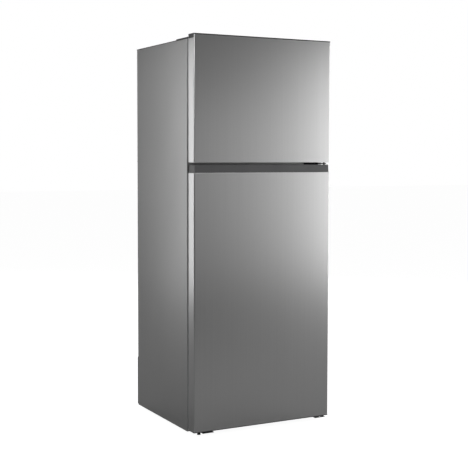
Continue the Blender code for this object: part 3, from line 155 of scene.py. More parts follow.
def galvanisedSheet():
    # hot-dip zinc: a spangle of flat grey crystals
    finish = newMaterial("galvanisedSheet", "galvanised_steel", "9FA3A6", Metallic=0.9, Roughness=0.45)
    spangleMm = 9.0
    links = {"Vector": stretched(finish, (1000 / spangleMm,) * 3)}
    crystals = addNode(finish["tree"], "ShaderNodeTexVoronoi", {"Scale": 1.0, "Randomness": 1.0}, links)
    tone = addNode(finish["tree"], "ShaderNodeSeparateColor", None, {"Color": crystals.outputs["Color"]})
    tinted(finish, tone.outputs["Red"], "9C9FA0", "A9ACAD")
    roughened(finish, tone.outputs["Green"], low=0.44, high=0.53)
    return finish


def mouldedPlastic(name, slot, dark, light, low, high, grainMm, depth, **settings):
    # injection-moulded part: a fine spark-eroded grain breaks up its gloss
    finish = newMaterial(name, slot, light, **settings)
    grain = noiseOn(finish, (1000 / grainMm,) * 3, detail=3.0, roughness=0.6)
    cloud = noiseOn(finish, (9.0, 9.0, 9.0), detail=2.0)
    tinted(finish, cloud, dark, light)
    roughened(finish, grain, low, high)
    bumped(finish, grain, distance=depth, strength=0.5)
    return finish


def clearMoulding():
    # clear general-purpose polystyrene: slight haze and flow lines from the mould
    finish = newMaterial(
        "clearPolystyreneMoulding", "clear_plastic", "EAF0F2", Roughness=0.08, IOR=1.59, Alpha=0.30
    )
    flow = noiseOn(finish, (14.0, 14.0, 40.0), detail=2.0)
    tinted(finish, flow, "DEE8EC", "F3F7F8")
    roughened(finish, flow, low=0.05, high=0.14)
    return finish


def toughenedGlass():
    # float glass, toughened: faint green, with long shallow waves from the furnace
    finish = newMaterial("toughenedFloatGlass", "shelf_glass", "CFE3DD", Roughness=0.03, IOR=1.52, Alpha=0.34)
    wave = noiseOn(finish, (8.0, 8.0, 8.0), detail=1.0)
    tinted(finish, wave, "C2DBD4", "DCEBE6")
    bumped(finish, wave, distance=0.0004, strength=0.3)
    return finish


def rigidFoam():
    # foamed polyurethane: small closed cells under a tan skin
    finish = newMaterial("rigidPolyurethaneFoam", "foam", "CDB888", Roughness=0.9)
    cellMm = 2.5
    links = {"Vector": stretched(finish, (1000 / cellMm,) * 3)}
    cells = addNode(finish["tree"], "ShaderNodeTexVoronoi", {"Scale": 1.0}, links)
    tinted(finish, cells.outputs["Distance"], "B79F6B", "D8C698")
    bumped(finish, cells.outputs["Distance"], distance=0.0006, strength=0.6)
    return finish


def copperTube():
    # drawn copper, dulled by handling
    finish = newMaterial("drawnCopperTube", "galvanised_steel", "B87A52", Metallic=1.0, Roughness=0.32)
    tarnish = noiseOn(finish, (60.0, 60.0, 60.0), detail=3.0)
    tinted(finish, tarnish, "94583A", "C88C62")
    roughened(finish, tarnish, low=0.25, high=0.5)
    return finish


steel = brushedStainless()
paint = prePaintedSteel()
zinc = galvanisedSheet()
# name, slot, darker and lighter tone, lowest and highest roughness, grain in mm, relief in metres
darkAbs = mouldedPlastic("darkAbsMoulding", "dark_plastic", "454546", "525253", 0.36, 0.50, 1.6, 0.00005)
blackAbs = mouldedPlastic("blackAbsMoulding", "dark_plastic", "1B1B1C", "262627", 0.34, 0.46, 1.6, 0.00005)
blackEnamel = mouldedPlastic(
    "blackEnamelOnSteel", "black_steel", "0B0B0C", "17181A", 0.24, 0.36, 4.0, 0.00005
)
whiteLining = mouldedPlastic(
    "thermoformedPolystyrene", "white_plastic", "E2E5E7", "EDEFF0", 0.16, 0.28, 5.0, 0.00004, IOR=1.59
)
greyNylon = mouldedPlastic("mouldedGreyNylon", "nylon", "75777A", "85878A", 0.42, 0.56, 2.0, 0.00005)
softRubber = mouldedPlastic("mouldedBlackRubber", "rubber", "141414", "202021", 0.60, 0.80, 1.5, 0.0001)
gasketVinyl = mouldedPlastic("extrudedGasketVinyl", "gasket", "707172", "818283", 0.50, 0.65, 2.0, 0.00006)
finAluminium = mouldedPlastic(
    "rolledFinAluminium", "fin_aluminium", "B4B7BA", "CDD0D2", 0.28, 0.42, 2.0, 0.00004, Metallic=1.0
)
clearPlastic = clearMoulding()
glass = toughenedGlass()
foam = rigidFoam()
copper = copperTube()
print("finishes made")


def deselectAll():
    bpy.ops.object.select_all(action="DESELECT")


def makeActive(piece):
    # the only piece selected, as operators act on all that is
    deselectAll()
    piece.select_set(True)
    bpy.context.view_layer.objects.active = piece


def addBlock(name, low, high):
    # a cube between two corners, as the start of a piece
    deselectAll()
    middle = [(a + b) / 2 for a, b in zip(low, high)]
    bpy.ops.mesh.primitive_cube_add(size=1, location=middle)
    piece = bpy.context.active_object
    piece.name = name
    piece.scale = [b - a for a, b in zip(low, high)]
    bpy.ops.object.transform_apply(location=True, rotation=True, scale=True)
    return piece


def addDrum(name, middle, radius, length, axis="Z", sides=32):
    # a cylinder about an axis through middle, as the start of a round piece
    deselectAll()
    turn = {"X": (0, math.pi / 2, 0), "Y": (math.pi / 2, 0, 0), "Z": (0, 0, 0)}[axis]
    bpy.ops.mesh.primitive_cylinder_add(
        vertices=sides, radius=radius, depth=length, location=middle, rotation=turn
    )
    piece = bpy.context.active_object
    piece.name = name
    bpy.ops.object.transform_apply(location=True, rotation=True, scale=True)
    return piece


def openEdit(piece, kind):
    # edit mode, set to pick vertices, edges or faces
    makeActive(piece)
    bpy.context.tool_settings.mesh_select_mode = (kind == "VERT", kind == "EDGE", kind == "FACE")
    bpy.ops.object.mode_set(mode="EDIT")


def closeEdit():
    bpy.ops.object.mode_set(mode="OBJECT")


def pick(piece, kind, test):
    # selects faces by centre and normal, or edges by their two ends, then opens edit mode
    for part in (piece.data.vertices, piece.data.edges, piece.data.polygons):
        part.foreach_set("select", [False] * len(part))
    found = 0
    if kind == "FACE":
        for face in piece.data.polygons:
            face.select = bool(test(face.center, face.normal))
            found += face.select
    else:
        for edge in piece.data.edges:
            a, b = (piece.data.vertices[i].co for i in edge.vertices)
            edge.select = bool(test(a, b))
            found += edge.select
    openEdit(piece, kind)
    return found


def dropFaces(piece, test):
    # deletes the faces that pass a test on centre and normal
    pick(piece, "FACE", test)
    bpy.ops.mesh.delete(type="FACE")
    closeEdit()


def bevelEdges(piece, test, width, steps):
    # rounds the edges that pass a test on their two ends
    if pick(piece, "EDGE", test):
        bpy.ops.mesh.bevel(offset=width, segments=steps, profile=0.5, affect="EDGES", clamp_overlap=True)
    closeEdit()


def applyModifier(piece, kind, **settings):
    # adds a modifier and applies it at once
    modifier = piece.modifiers.new("step", kind)
    for key, value in settings.items():
        setattr(modifier, key, value)
    makeActive(piece)
    bpy.ops.object.modifier_apply(modifier=modifier.name)


def softenEdges(piece, width, steps=2, angle=30):
    # every sharp edge gets the small radius of the tool that made it
    applyModifier(
        piece, "BEVEL", width=width, segments=steps, limit_method="ANGLE",
        angle_limit=math.radians(angle), use_clamp_overlap=True, miter_outer="MITER_ARC",
    )


def shadeSmooth(piece, angle=35):
    # weighted normals keep the broad faces flat beside their small radii
    makeActive(piece)
    bpy.ops.object.shade_smooth_by_angle(angle=math.radians(angle))
    applyModifier(piece, "WEIGHTED_NORMAL", keep_sharp=True)


def copyNode(name, node):
    # a merged copy of a CAD node's mesh, to be finished as a piece
    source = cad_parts[node]
    piece = bpy.data.objects.new(name, source.data.copy())
    bpy.context.scene.collection.objects.link(piece)
    openEdit(piece, "EDGE")
    bpy.ops.mesh.select_all(action="SELECT")
    bpy.ops.mesh.remove_doubles(threshold=merge)
    # a face with holes can't be one polygon, so flat faces stay in small pieces
    bpy.ops.mesh.tris_convert_to_quads(face_threshold=0.005, shape_threshold=3.1)
    closeEdit()
    return piece


def pressPanel(piece, onFace, axes, low, high, slope, depth):
    # presses a rectangle into the flat faces that onFace picks; axes are the two that span it
    for axis, start, end in zip(axes, low, high):
        for level in (start, end):
            spot = [0.0, 0.0, 0.0]
            spot[axis] = level
            way = [0.0, 0.0, 0.0]
            way[axis] = 1.0
            pick(piece, "FACE", onFace)
            bpy.ops.mesh.bisect(plane_co=spot, plane_no=way)
            closeEdit()

    def inside(c, n):
        return onFace(c, n) and all(start < c[axis] < end for axis, start, end in zip(axes, low, high))

    pick(piece, "FACE", inside)
    bpy.ops.mesh.inset(thickness=slope, depth=-depth)
    closeEdit()


def settle(piece, finish, body, *nodes):
    # gives a finished piece its material, its body and the CAD nodes that it stands for
    piece.data.materials.clear()
    piece.data.materials.append(finish["material"])
    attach(piece, body)
    if nodes:
        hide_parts(*nodes)


def joinAll(name, pieces):
    # several pieces made one
    deselectAll()
    for piece in pieces:
        piece.select_set(True)
    bpy.context.view_layer.objects.active = pieces[0]
    bpy.ops.object.join()
    pieces[0].name = name
    return pieces[0]


def boxOf(node):
    # a CAD node's lowest and highest corners at rest
    low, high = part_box(node)
    return Vector(low), Vector(high)


doorSheet = {
    "sheet": 0.0011, "fold": 0.0045, "foldSteps": 7, "capSide": 0.0193, "capRise": 0.0043, "hem": 0.0005,
}


def makeDoorSkin(name, node, body, notched):
    # sheet folded round the front and sides, sharp enough to show a bright line at the fold
    low, high = boxOf(node)
    skin = addBlock(name, low, high)
    dropFaces(skin, lambda c, n: n.y > 0.9 or abs(n.z) > 0.9)
    front = low.y + hair
    bevelEdges(
        skin, lambda a, b: a.y < front and b.y < front and abs(a.x - b.x) < hair,
        doorSheet["fold"], doorSheet["foldSteps"],
    )
    if notched:
        # the moulded cap shows at the top of each side
        level = high.z + doorSheet["capRise"] - doorSheet["capSide"]
        pick(skin, "FACE", lambda c, n: abs(n.x) > 0.99)
        bpy.ops.mesh.bisect(plane_co=(0, 0, level), plane_no=(0, 0, 1))
        closeEdit()
        dropFaces(skin, lambda c, n: abs(n.x) > 0.99 and c.z > level)
    applyModifier(skin, "SOLIDIFY", thickness=doorSheet["sheet"], offset=-1)
    softenEdges(skin, doorSheet["hem"], 1, 60)
    shadeSmooth(skin, 30)
    settle(skin, steel, body, node)


makeDoorSkin("freezerDoorSkin", "freezer_door_skin", freezerDoorBody, True)
makeDoorSkin("fridgeDoorSkin", "fridge_door_skin", fridgeDoorBody, False)


def refine(name, node, finish, body, radius, steps=2, angle=30, smooth=35):
    # a CAD node in its own shape, with small radii on its edges
    piece = copyNode(name, node)
    softenEdges(piece, radius, steps, angle)
    shadeSmooth(piece, smooth)
    settle(piece, finish, body, node)


refine("freezerTopCap", "freezer_top_cap", blackAbs, freezerDoorBody, radius=0.0010)
refine("freezerBottomCap", "freezer_bottom_cap", darkAbs, freezerDoorBody, radius=0.0012)
refine("fridgeGrip", "fridge_grip", darkAbs, fridgeDoorBody, radius=0.0010, steps=3)
refine("fridgeBottomCap", "fridge_bottom_cap", darkAbs, fridgeDoorBody, radius=0.0008)

doorLining = {
    "wall": 0.0401, "near": 0.001, "corner": 0.007, "steps": 4, "halfWidth": 0.215, "margin": 0.095,
    "slope": 0.004, "press": 0.0012,
}


def makeDoorLining(name, node, body):
    # vacuum-formed sheet: every corner of the raised wall is well rounded
    low, high = boxOf(node)
    lining = copyNode(name, node)
    back = high.y - doorLining["wall"]

    def onWall(a, b):
        # an edge round the wall's top, or one that rises from the flat sheet
        start, end = sorted((a.y - back, b.y - back))
        return start > doorLining["near"] or (end > doorLining["wall"] / 2 and start > -doorLining["near"])

    bevelEdges(lining, onWall, doorLining["corner"], doorLining["steps"])
    # the middle is pressed in a little to stiffen the sheet
    half = doorLining["halfWidth"]
    pressPanel(
        lining, lambda c, n: n.y > 0.99 and c.y < back + doorLining["near"], (0, 2),
        (-half, low.z + doorLining["margin"]), (half, high.z - doorLining["margin"]),
        doorLining["slope"], doorLining["press"],
    )
    shadeSmooth(lining, 40)
    settle(lining, whiteLining, body, node)


makeDoorLining("freezerDoorLining", "freezer_door_liner", freezerDoorBody)
makeDoorLining("fridgeDoorLining", "fridge_door_liner", fridgeDoorBody)

sealBellows = {"lip": 0.0030, "depth": 0.0035, "edge": 0.0007}


def makeGasket(name, node, body):
    # bellows: a groove runs round the outer and inner sides between two lips
    seal = copyNode(name, node)
    pick(seal, "FACE", lambda c, n: abs(n.y) < 0.1)
    bpy.ops.mesh.inset(thickness=sealBellows["lip"], use_individual=False, use_boundary=True)
    closeEdit()
    width = sealBellows["lip"]
    low, high = boxOf(node)
    pick(seal, "FACE", lambda c, n: abs(n.y) < 0.1 and low.y + width < c.y < high.y - width)
    bpy.ops.mesh.extrude_region_shrink_fatten(TRANSFORM_OT_shrink_fatten={"value": -sealBellows["depth"]})
    closeEdit()
    softenEdges(seal, sealBellows["edge"], 2)
    shadeSmooth(seal, 40)
    settle(seal, gasketVinyl, body, node)


makeGasket("freezerGasket", "freezer_gasket", freezerDoorBody)
makeGasket("fridgeGasket", "fridge_gasket", fridgeDoorBody)

binShape = {"corner": 0.012, "steps": 5, "wall": 0.0022, "lip": 0.0006, "rim": 0.0030, "roll": 0.0060}


def makeBin(name, node, body):
    # moulded tub with round corners, an open top and a rim that rolls outwards and down
    low, high = boxOf(node)
    rim = binShape["rim"]
    tub = addBlock(name, low + Vector((rim, rim, 0)), high - Vector((rim, rim, 0)))
    dropFaces(tub, lambda c, n: n.z > 0.9)
    top = high.z - hair
    bevelEdges(tub, lambda a, b: not (a.z > top and b.z > top), binShape["corner"], binShape["steps"])
    middle = (low + high) / 2
    grow = [(h - l) / (h - l - 2 * rim) for l, h in zip(low, high)]
    pick(tub, "EDGE", lambda a, b: a.z > top and b.z > top)
    bpy.ops.mesh.extrude_region_move()
    bpy.ops.transform.resize(value=(grow[0], grow[1], 1), center_override=middle)
    bpy.ops.mesh.extrude_region_move(TRANSFORM_OT_translate={"value": (0, 0, -binShape["roll"])})
    closeEdit()
    applyModifier(tub, "SOLIDIFY", thickness=binShape["wall"], offset=-1)
    softenEdges(tub, binShape["lip"], 2, 50)
    shadeSmooth(tub, 40)
    settle(tub, clearPlastic, body, node)


for name, node, body in (
    ("freezerBinLower", "freezer_bin_lower", freezerDoorBody),
    ("freezerBinUpper", "freezer_bin_upper", freezerDoorBody),
    ("bottleBin", "bottle_bin", fridgeDoorBody),
    ("doorBin", "door_bin", fridgeDoorBody),
    ("dairyBin", "dairy_bin", fridgeDoorBody),
    ("iceBox", "ice_box", "ice_drawer"),
):
    makeBin(name, node, body)
refine("dairyLid", "dairy_lid", clearPlastic, "dairy_flap", radius=0.0009, steps=3)
print("doors made")

panelFold = {
    "sheet": 0.0008, "frontRadius": 0.0022, "rearRadius": 0.0060, "steps": 5, "rearFlange": 0.012,
    "hem": 0.0036, "edge": 0.0003,
}


def makeSidePanel(name, node, side):
    # one sheet, folded in at the front and, with a larger radius, at the rear
    low, high = boxOf(node)
    panel = addBlock(name, low, high - Vector((0, 0, panelFold["hem"])))
    dropFaces(panel, lambda c, n: n.x * side < -0.9 or abs(n.z) > 0.9)
    outer = high.x if side > 0 else low.x
    for edge, radius in ((low.y, panelFold["frontRadius"]), (high.y, panelFold["rearRadius"])):
        bevelEdges(
            panel, lambda a, b: both(a, b, lambda v: abs(v.x - outer) < hair and abs(v.y - edge) < hair),
            radius, panelFold["steps"],
        )
    inner = low.x if side > 0 else high.x
    pick(panel, "EDGE", lambda a, b: both(a, b, lambda v: abs(v.x - inner) < hair and v.y > high.y - hair))
    shift = side * (high.x - low.x - panelFold["rearFlange"])
    bpy.ops.transform.translate(value=(shift, 0, 0))
    closeEdit()
    applyModifier(panel, "SOLIDIFY", thickness=panelFold["sheet"], offset=-1)
    softenEdges(panel, panelFold["edge"], 1, 60)
    shadeSmooth(panel, 30)
    settle(panel, paint, cabinetBody, node)


topShadeStrip = {"width": 0.0042, "round": 0.0012, "steps": 3, "edge": 0.0003}


def makeTopShadeStrip(name, node, side):
    # dark strip over the joint between the side sheet and the top; its black is painted shade, put in for the
    # shade that falls in that joint
    low, high = boxOf(node)
    width = topShadeStrip["width"]
    start = high.x - width if side > 0 else low.x
    foot = high.z - panelFold["hem"] + clearance
    strip = addBlock(name, (start, low.y, foot), (start + width, high.y, high.z))
    outer = start + width if side > 0 else start
    bevelEdges(
        strip, lambda a, b: both(a, b, lambda v: abs(v.x - outer) < hair), topShadeStrip["round"], topShadeStrip["steps"],
    )
    softenEdges(strip, topShadeStrip["edge"], 1, 60)
    shadeSmooth(strip, 30)
    # the black finish here is painted shade for the shaded joint at the top of the side sheet
    settle(strip, blackAbs, cabinetBody)


makeTopShadeStrip("topShadeStripLeft", "side_panel_left", -1)
makeTopShadeStrip("topShadeStripRight", "side_panel_right", 1)
makeSidePanel("sidePanelLeft", "side_panel_left", -1)
makeSidePanel("sidePanelRight", "side_panel_right", 1)
refine("topPanel", "top_panel", paint, cabinetBody, radius=0.0004)
refine("bottomPanel", "bottom_panel", zinc, cabinetBody, radius=0.0004)
refine("centreRail", "centre_rail", paint, cabinetBody, radius=0.0004)
refine("hingeCover", "hinge_cover", blackAbs, cabinetBody, radius=0.0012, steps=3)
refine("topHinge", "top_hinge", zinc, cabinetBody, radius=0.0005)
refine("middleHinge", "middle_hinge", blackEnamel, cabinetBody, radius=0.0005)
refine("lowerHinge", "lower_hinge", blackEnamel, cabinetBody, radius=0.0005)
refine("footBracket", "foot_bracket", blackEnamel, cabinetBody, radius=0.0005)
refine("cordGland", "cord_gland", softRubber, cabinetBody, radius=0.0008)

coverEdge = {"rim": 0.0009, "rimSteps": 2, "slot": 0.0002}


def makeRearCover():
    # moulded cover: its rim is rounded, its slots only eased
    low, high = boxOf("rear_cover")
    cover = copyNode("rearCover", "rear_cover")

    def onRim(a, b):
        outer = both(a, b, lambda v: v.y > high.y - hair)
        sides = any(both(a, b, lambda v: abs(v.x - x) < hair) for x in (low.x, high.x))
        ends = any(both(a, b, lambda v: abs(v.z - z) < hair) for z in (low.z, high.z))
        return outer and (sides or ends)

    bevelEdges(cover, onRim, coverEdge["rim"], coverEdge["rimSteps"])
    softenEdges(cover, coverEdge["slot"], 1)
    shadeSmooth(cover, 35)
    settle(cover, blackAbs, cabinetBody, "rear_cover")


makeRearCover()

rearSheet = {"panels": 3, "margin": 0.035, "depth": 0.0009, "slope": 0.006}


def makeRearPanel():
    # thin sheet, stiffened by shallow pressed panels
    low, high = boxOf("rear_panel")
    sheet = addBlock("rearPanel", low, high)
    openEdit(sheet, "FACE")
    for step in range(1, rearSheet["panels"]):
        level = low.z + (high.z - low.z) * step / rearSheet["panels"]
        bpy.ops.mesh.select_all(action="SELECT")
        bpy.ops.mesh.bisect(plane_co=(0, 0, level), plane_no=(0, 0, 1))
    closeEdit()
    pick(sheet, "FACE", lambda c, n: n.y > 0.9)
    bpy.ops.mesh.inset(thickness=rearSheet["margin"], use_individual=True)
    bpy.ops.mesh.inset(thickness=rearSheet["slope"], depth=-rearSheet["depth"], use_individual=True)
    closeEdit()
    shadeSmooth(sheet, 5)
    settle(sheet, zinc, cabinetBody, "rear_panel")


makeRearPanel()

liningShape = {
    "sheet": 0.0020, "corner": 0.011, "steps": 5, "edge": 0.0014, "mouth": 0.0121, "shelfGap": 0.0015,
    "near": 0.0002,
}


def makeLining(name, node, halfWidth, floor, ceiling, rear):
    # vacuum-formed tub: round inner corners, and a tight radius round its mouth
    tub = copyNode(name, node)
    mouth = boxOf(node)[0].y + liningShape["mouth"]

    def inCorner(v):
        # where at least two of the walls meet
        gaps = (abs(v.x) - halfWidth, v.z - floor, v.z - ceiling, v.y - rear)
        return sum(abs(gap) < liningShape["near"] for gap in gaps) >= 2

    bevelEdges(
        tub, lambda a, b: both(a, b, inCorner) and max(a.y, b.y) > mouth,
        liningShape["corner"], liningShape["steps"],
    )
    softenEdges(tub, liningShape["edge"], 2, 50)
    shadeSmooth(tub, 40)
    settle(tub, whiteLining, cabinetBody, node)


# the walls are found from what stands on them: name, node, shelf, lowest piece, highest piece
for name, node, shelf, lowest, highest in (
    ("fridgeLining", "fridge_liner", "glass_shelf_lower", "crisper_drawer", "control_housing"),
    ("freezerLining", "freezer_liner", "freezer_shelf", "evaporator_cover", "evaporator_cover"),
):
    makeLining(
        name, node, boxOf(shelf)[1].x + liningShape["shelfGap"], boxOf(lowest)[0].z - clearance,
        boxOf(highest)[1].z + clearance, boxOf(node)[1].y - liningShape["sheet"],
    )
print("cabinet made")

shelfEdge = {
    "trimDepth": 0.012, "trimEdge": 0.0008, "glassEdge": 0.0008, "glassGap": 0.001, "wrap": 0.004,
    "groove": 0.0022, "ledge": 0.0070,
}


def makeShelf(name, node, lip, trimHeight):
    # ground-edge glass with a moulded strip along its front and its back; the lip stops spills
    low, high = boxOf(node)
    inset = Vector((shelfEdge["glassGap"], shelfEdge["trimDepth"] - shelfEdge["wrap"], 0))
    pane = addBlock(name, low + inset, high - inset)
    softenEdges(pane, shelfEdge["glassEdge"], 2)
    shadeSmooth(pane, 40)
    settle(pane, glass, cabinetBody, node)
    depth = shelfEdge["trimDepth"]
    for end, start in (("Front", low.y), ("Rear", high.y - depth)):
        # it stops short of the lining's ledges, which the glass lies on
        foot = (low.x + shelfEdge["ledge"], start, high.z + lip - trimHeight)
        strip = addBlock(f"{name}Trim{end}", foot, (high.x - shelfEdge["ledge"], start + depth, high.z + lip))
        # the groove that the glass sits in
        inward = 1 if end == "Front" else -1
        pick(strip, "FACE", lambda c, n: n.y * inward > 0.9)
        bpy.ops.mesh.inset(thickness=shelfEdge["groove"])
        press = (0, -inward * shelfEdge["wrap"], 0)
        bpy.ops.mesh.extrude_region_move(TRANSFORM_OT_translate={"value": press})
        closeEdit()
        softenEdges(strip, shelfEdge["trimEdge"], 2)
        shadeSmooth(strip, 40)
        settle(strip, whiteLining, cabinetBody)


# name, node, how far the lip stands above the glass, height of the trim
for name, node, lip, trimHeight in (
    ("freezerShelf", "freezer_shelf", 0.0002, 0.0120),
    ("glassShelfLower", "glass_shelf_lower", 0.0022, 0.0135),
    ("glassShelfMiddle", "glass_shelf_middle", 0.0022, 0.0135),
    ("glassShelfUpper", "glass_shelf_upper", 0.0022, 0.0135),
    ("crisperCover", "crisper_cover", 0.0022, 0.0105),
):
    makeShelf(name, node, lip, trimHeight)


crisperFront = {"margin": 0.022, "slope": 0.006, "press": 0.0010, "edge": 0.0010}


def makeCrisper():
    # deep clear drawer, its front stiffened by a shallow recess
    low, high = boxOf("crisper_drawer")
    drawer = copyNode("crisperDrawer", "crisper_drawer")
    margin = crisperFront["margin"]
    pressPanel(
        drawer, lambda c, n: n.y < -0.99 and c.y < low.y + 10 * hair, (0, 2),
        (low.x + margin, low.z + margin), (high.x - margin, high.z - 2 * margin),
        crisperFront["slope"], crisperFront["press"],
    )
    softenEdges(drawer, crisperFront["edge"], 2)
    shadeSmooth(drawer, 35)
    settle(drawer, clearPlastic, "crisper", "crisper_drawer")


makeCrisper()
refine("iceTray", "ice_tray", greyNylon, "ice_tray_body", radius=0.0008)
refine("iceMakerFrame", "ice_maker_frame", whiteLining, cabinetBody, radius=0.0009)
refine("evaporatorCover", "evaporator_cover", whiteLining, cabinetBody, radius=0.0010)
refine("evaporatorFan", "evaporator_fan", greyNylon, "fan", radius=0.0003, steps=1)
refine("fanMotor", "fan_motor", darkAbs, cabinetBody, radius=0.0006)
refine("evaporatorBlock", "evaporator", finAluminium, cabinetBody, radius=0.0005, steps=1)
refine("airDuct", "air_duct", whiteLining, cabinetBody, radius=0.0018, steps=3)
refine("controlHousing", "control_housing", whiteLining, cabinetBody, radius=0.0030, steps=3)

lensRibs = {"count": 9, "gap": 0.0014, "height": 0.0009, "edge": 0.0003}


def makeLens():
    # ribbed diffuser: ridges run across its lower face
    low, high = boxOf("lamp_lens")
    lens = copyNode("lampLens", "lamp_lens")

    def onLowerFace(c, n):
        return n.z < -0.99 and c.z < low.z + 10 * hair

    for step in range(1, lensRibs["count"]):
        across = low.y + (high.y - low.y) * step / lensRibs["count"]
        pick(lens, "FACE", onLowerFace)
        bpy.ops.mesh.bisect(plane_co=(0, across, 0), plane_no=(0, 1, 0))
        closeEdit()
    pick(lens, "FACE", onLowerFace)
    bpy.ops.mesh.inset(thickness=lensRibs["gap"], depth=-lensRibs["height"], use_individual=True)
    closeEdit()
    softenEdges(lens, lensRibs["edge"], 1)
    shadeSmooth(lens, 40)
    settle(lens, clearPlastic, cabinetBody, "lamp_lens")


makeLens()
refine("temperatureKnob", "temperature_knob", darkAbs, "knob", radius=0.0006)
print("fittings made")

refine("compressorShell", "compressor", blackEnamel, cabinetBody, radius=0.0010, steps=2, angle=50)
refine("terminalCover", "terminal_cover", darkAbs, cabinetBody, radius=0.0006)
refine("drainPan", "drain_pan", darkAbs, cabinetBody, radius=0.0009)
refine("condenserTube", "condenser", blackEnamel, cabinetBody, radius=0.0001, steps=1, angle=80, smooth=50)
refine("compressorDeck", "compressor_deck", zinc, cabinetBody, radius=0.0004)
for side in ("Left", "Right"):
    lower = side.lower()
    refine(f"rearRoller{side}", f"rear_roller_{lower}", greyNylon, f"roller_{lower}", radius=0.0008)
    refine(f"levellingFoot{side}", f"levelling_foot_{lower}", softRubber, f"foot_{lower}", radius=0.0006)

# the foam stays as the CAD has it, because little of it ever shows
for node in ("cabinet_foam", "freezer_door_foam", "fridge_door_foam"):
    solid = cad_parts[node]
    solid.data.materials.clear()
    solid.data.materials.append(foam["material"])
print("machine compartment made")

screwShape = {
    "radius": 0.0042, "height": 0.0022, "round": 0.0013, "recess": 0.0019, "depth": 0.0009, "sides": 20,
}


def makeScrews(name, axis, way, places):
    # pan head with a round recess, modelled once and copied to each place
    flat = Vector(places[0])
    way = Vector(way)
    head = addDrum(name, flat, screwShape["radius"], screwShape["height"], axis, screwShape["sides"])
    crown = screwShape["height"] / 4
    bevelEdges(head, lambda a, b: both(a, b, lambda v: (v - flat).dot(way) > crown), screwShape["round"], 4)
    pick(head, "FACE", lambda c, n: n.dot(way) > 0.99)
    bpy.ops.mesh.inset(thickness=screwShape["radius"] - screwShape["round"] - screwShape["recess"])
    bpy.ops.mesh.extrude_region_move(TRANSFORM_OT_translate={"value": -screwShape["depth"] * way})
    closeEdit()
    shadeSmooth(head, 40)
    heads = [head]
    for place in places[1:]:
        other = head.copy()
        other.data = head.data.copy()
        bpy.context.scene.collection.objects.link(other)
        other.data.transform(Matrix.Translation(Vector(place) - flat))
        heads.append(other)
    settle(joinAll(name, heads), zinc, cabinetBody)


screwPlaces = {
    "flangeX": (-0.344, 0.344), "flangeZ": (0.32, 0.62, 0.92, 1.22, 1.52, 1.72),
    "sheetX": (-0.2, 0.0, 0.2), "sheetZ": (0.262, 1.748),
    "bracketX": (0.010, 0.046), "bracketY": -0.204,  # the first from the plate's left end
}
seat = 0.0001  # a fixing stands this far off the face it sits on
rearSeat = boxOf("rear_panel")[1].y + seat
rearFace = rearSeat + screwShape["height"] / 2
makeScrews("flangeScrews", "Y", (0, 1, 0), [
    (x, rearFace, z) for x in screwPlaces["flangeX"] for z in screwPlaces["flangeZ"]
])
makeScrews("rearSheetScrews", "Y", (0, 1, 0), [
    (x, rearFace, z) for x in screwPlaces["sheetX"] for z in screwPlaces["sheetZ"]
])
footPlate = boxOf("foot_bracket")
hingePlate = boxOf("lower_hinge")
under = footPlate[0].z - screwShape["height"] / 2 - seat
makeScrews("bracketScrews", "Z", (0, 0, -1), [
    (plate[0].x + along, screwPlaces["bracketY"], under)
    for plate in (footPlate, hingePlate) for along in screwPlaces["bracketX"]
])

plugShape = {
    "radius": 0.015, "flange": 0.0016, "rim": 0.004, "dome": 0.0035, "edge": 0.0006, "x": (-0.27, 0.27),
    "z": (1.62, 0.40),
}


def makePlug(name, place):
    # snap-in plug over a hole that the foam was poured through
    plug = addDrum(name, place, plugShape["radius"], plugShape["flange"], "Y", 40)
    face = place[1] + plugShape["flange"] / 2
    pick(plug, "FACE", lambda c, n: n.y > 0.99 and c.y > face - 10 * hair)
    bpy.ops.mesh.inset(thickness=plugShape["rim"])
    rise = (0, plugShape["dome"] - plugShape["flange"], 0)
    bpy.ops.mesh.extrude_region_move(TRANSFORM_OT_translate={"value": rise})
    closeEdit()
    softenEdges(plug, plugShape["edge"], 2)
    shadeSmooth(plug, 40)
    settle(plug, whiteLining, cabinetBody)


plugY = rearSeat + plugShape["flange"] / 2
plugPlaces = [(x, plugY, z) for z in plugShape["z"] for x in plugShape["x"]]
for number, place in enumerate(plugPlaces, 1):
    makePlug(f"foamPlug{number}", place)

tubeShape = {"suction": 0.0040, "discharge": 0.0026, "process": 0.00312, "sides": 6, "steps": 8}


def makeTube(name, radius, points):
    # drawn tube bent along a smooth path
    deselectAll()
    path = bpy.data.curves.new(name, "CURVE")
    path.dimensions = "3D"
    path.bevel_depth = radius
    path.bevel_resolution = tubeShape["sides"] // 2
    path.resolution_u = tubeShape["steps"]
    path.use_fill_caps = True
    spline = path.splines.new("NURBS")
    spline.points.add(len(points) - 1)
    for point, place in zip(spline.points, points):
        point.co = (*place, 1)
    spline.order_u = 4
    spline.use_endpoint_u = True
    tube = bpy.data.objects.new(name, path)
    bpy.context.scene.collection.objects.link(tube)
    makeActive(tube)
    bpy.ops.object.convert(target="MESH")
    tube = bpy.context.active_object
    openEdit(tube, "VERT")
    bpy.ops.mesh.select_all(action="SELECT")
    bpy.ops.mesh.remove_doubles(threshold=merge)
    bpy.ops.mesh.normals_make_consistent(inside=False)
    closeEdit()
    shadeSmooth(tube, 50)
    settle(tube, copper, cabinetBody)
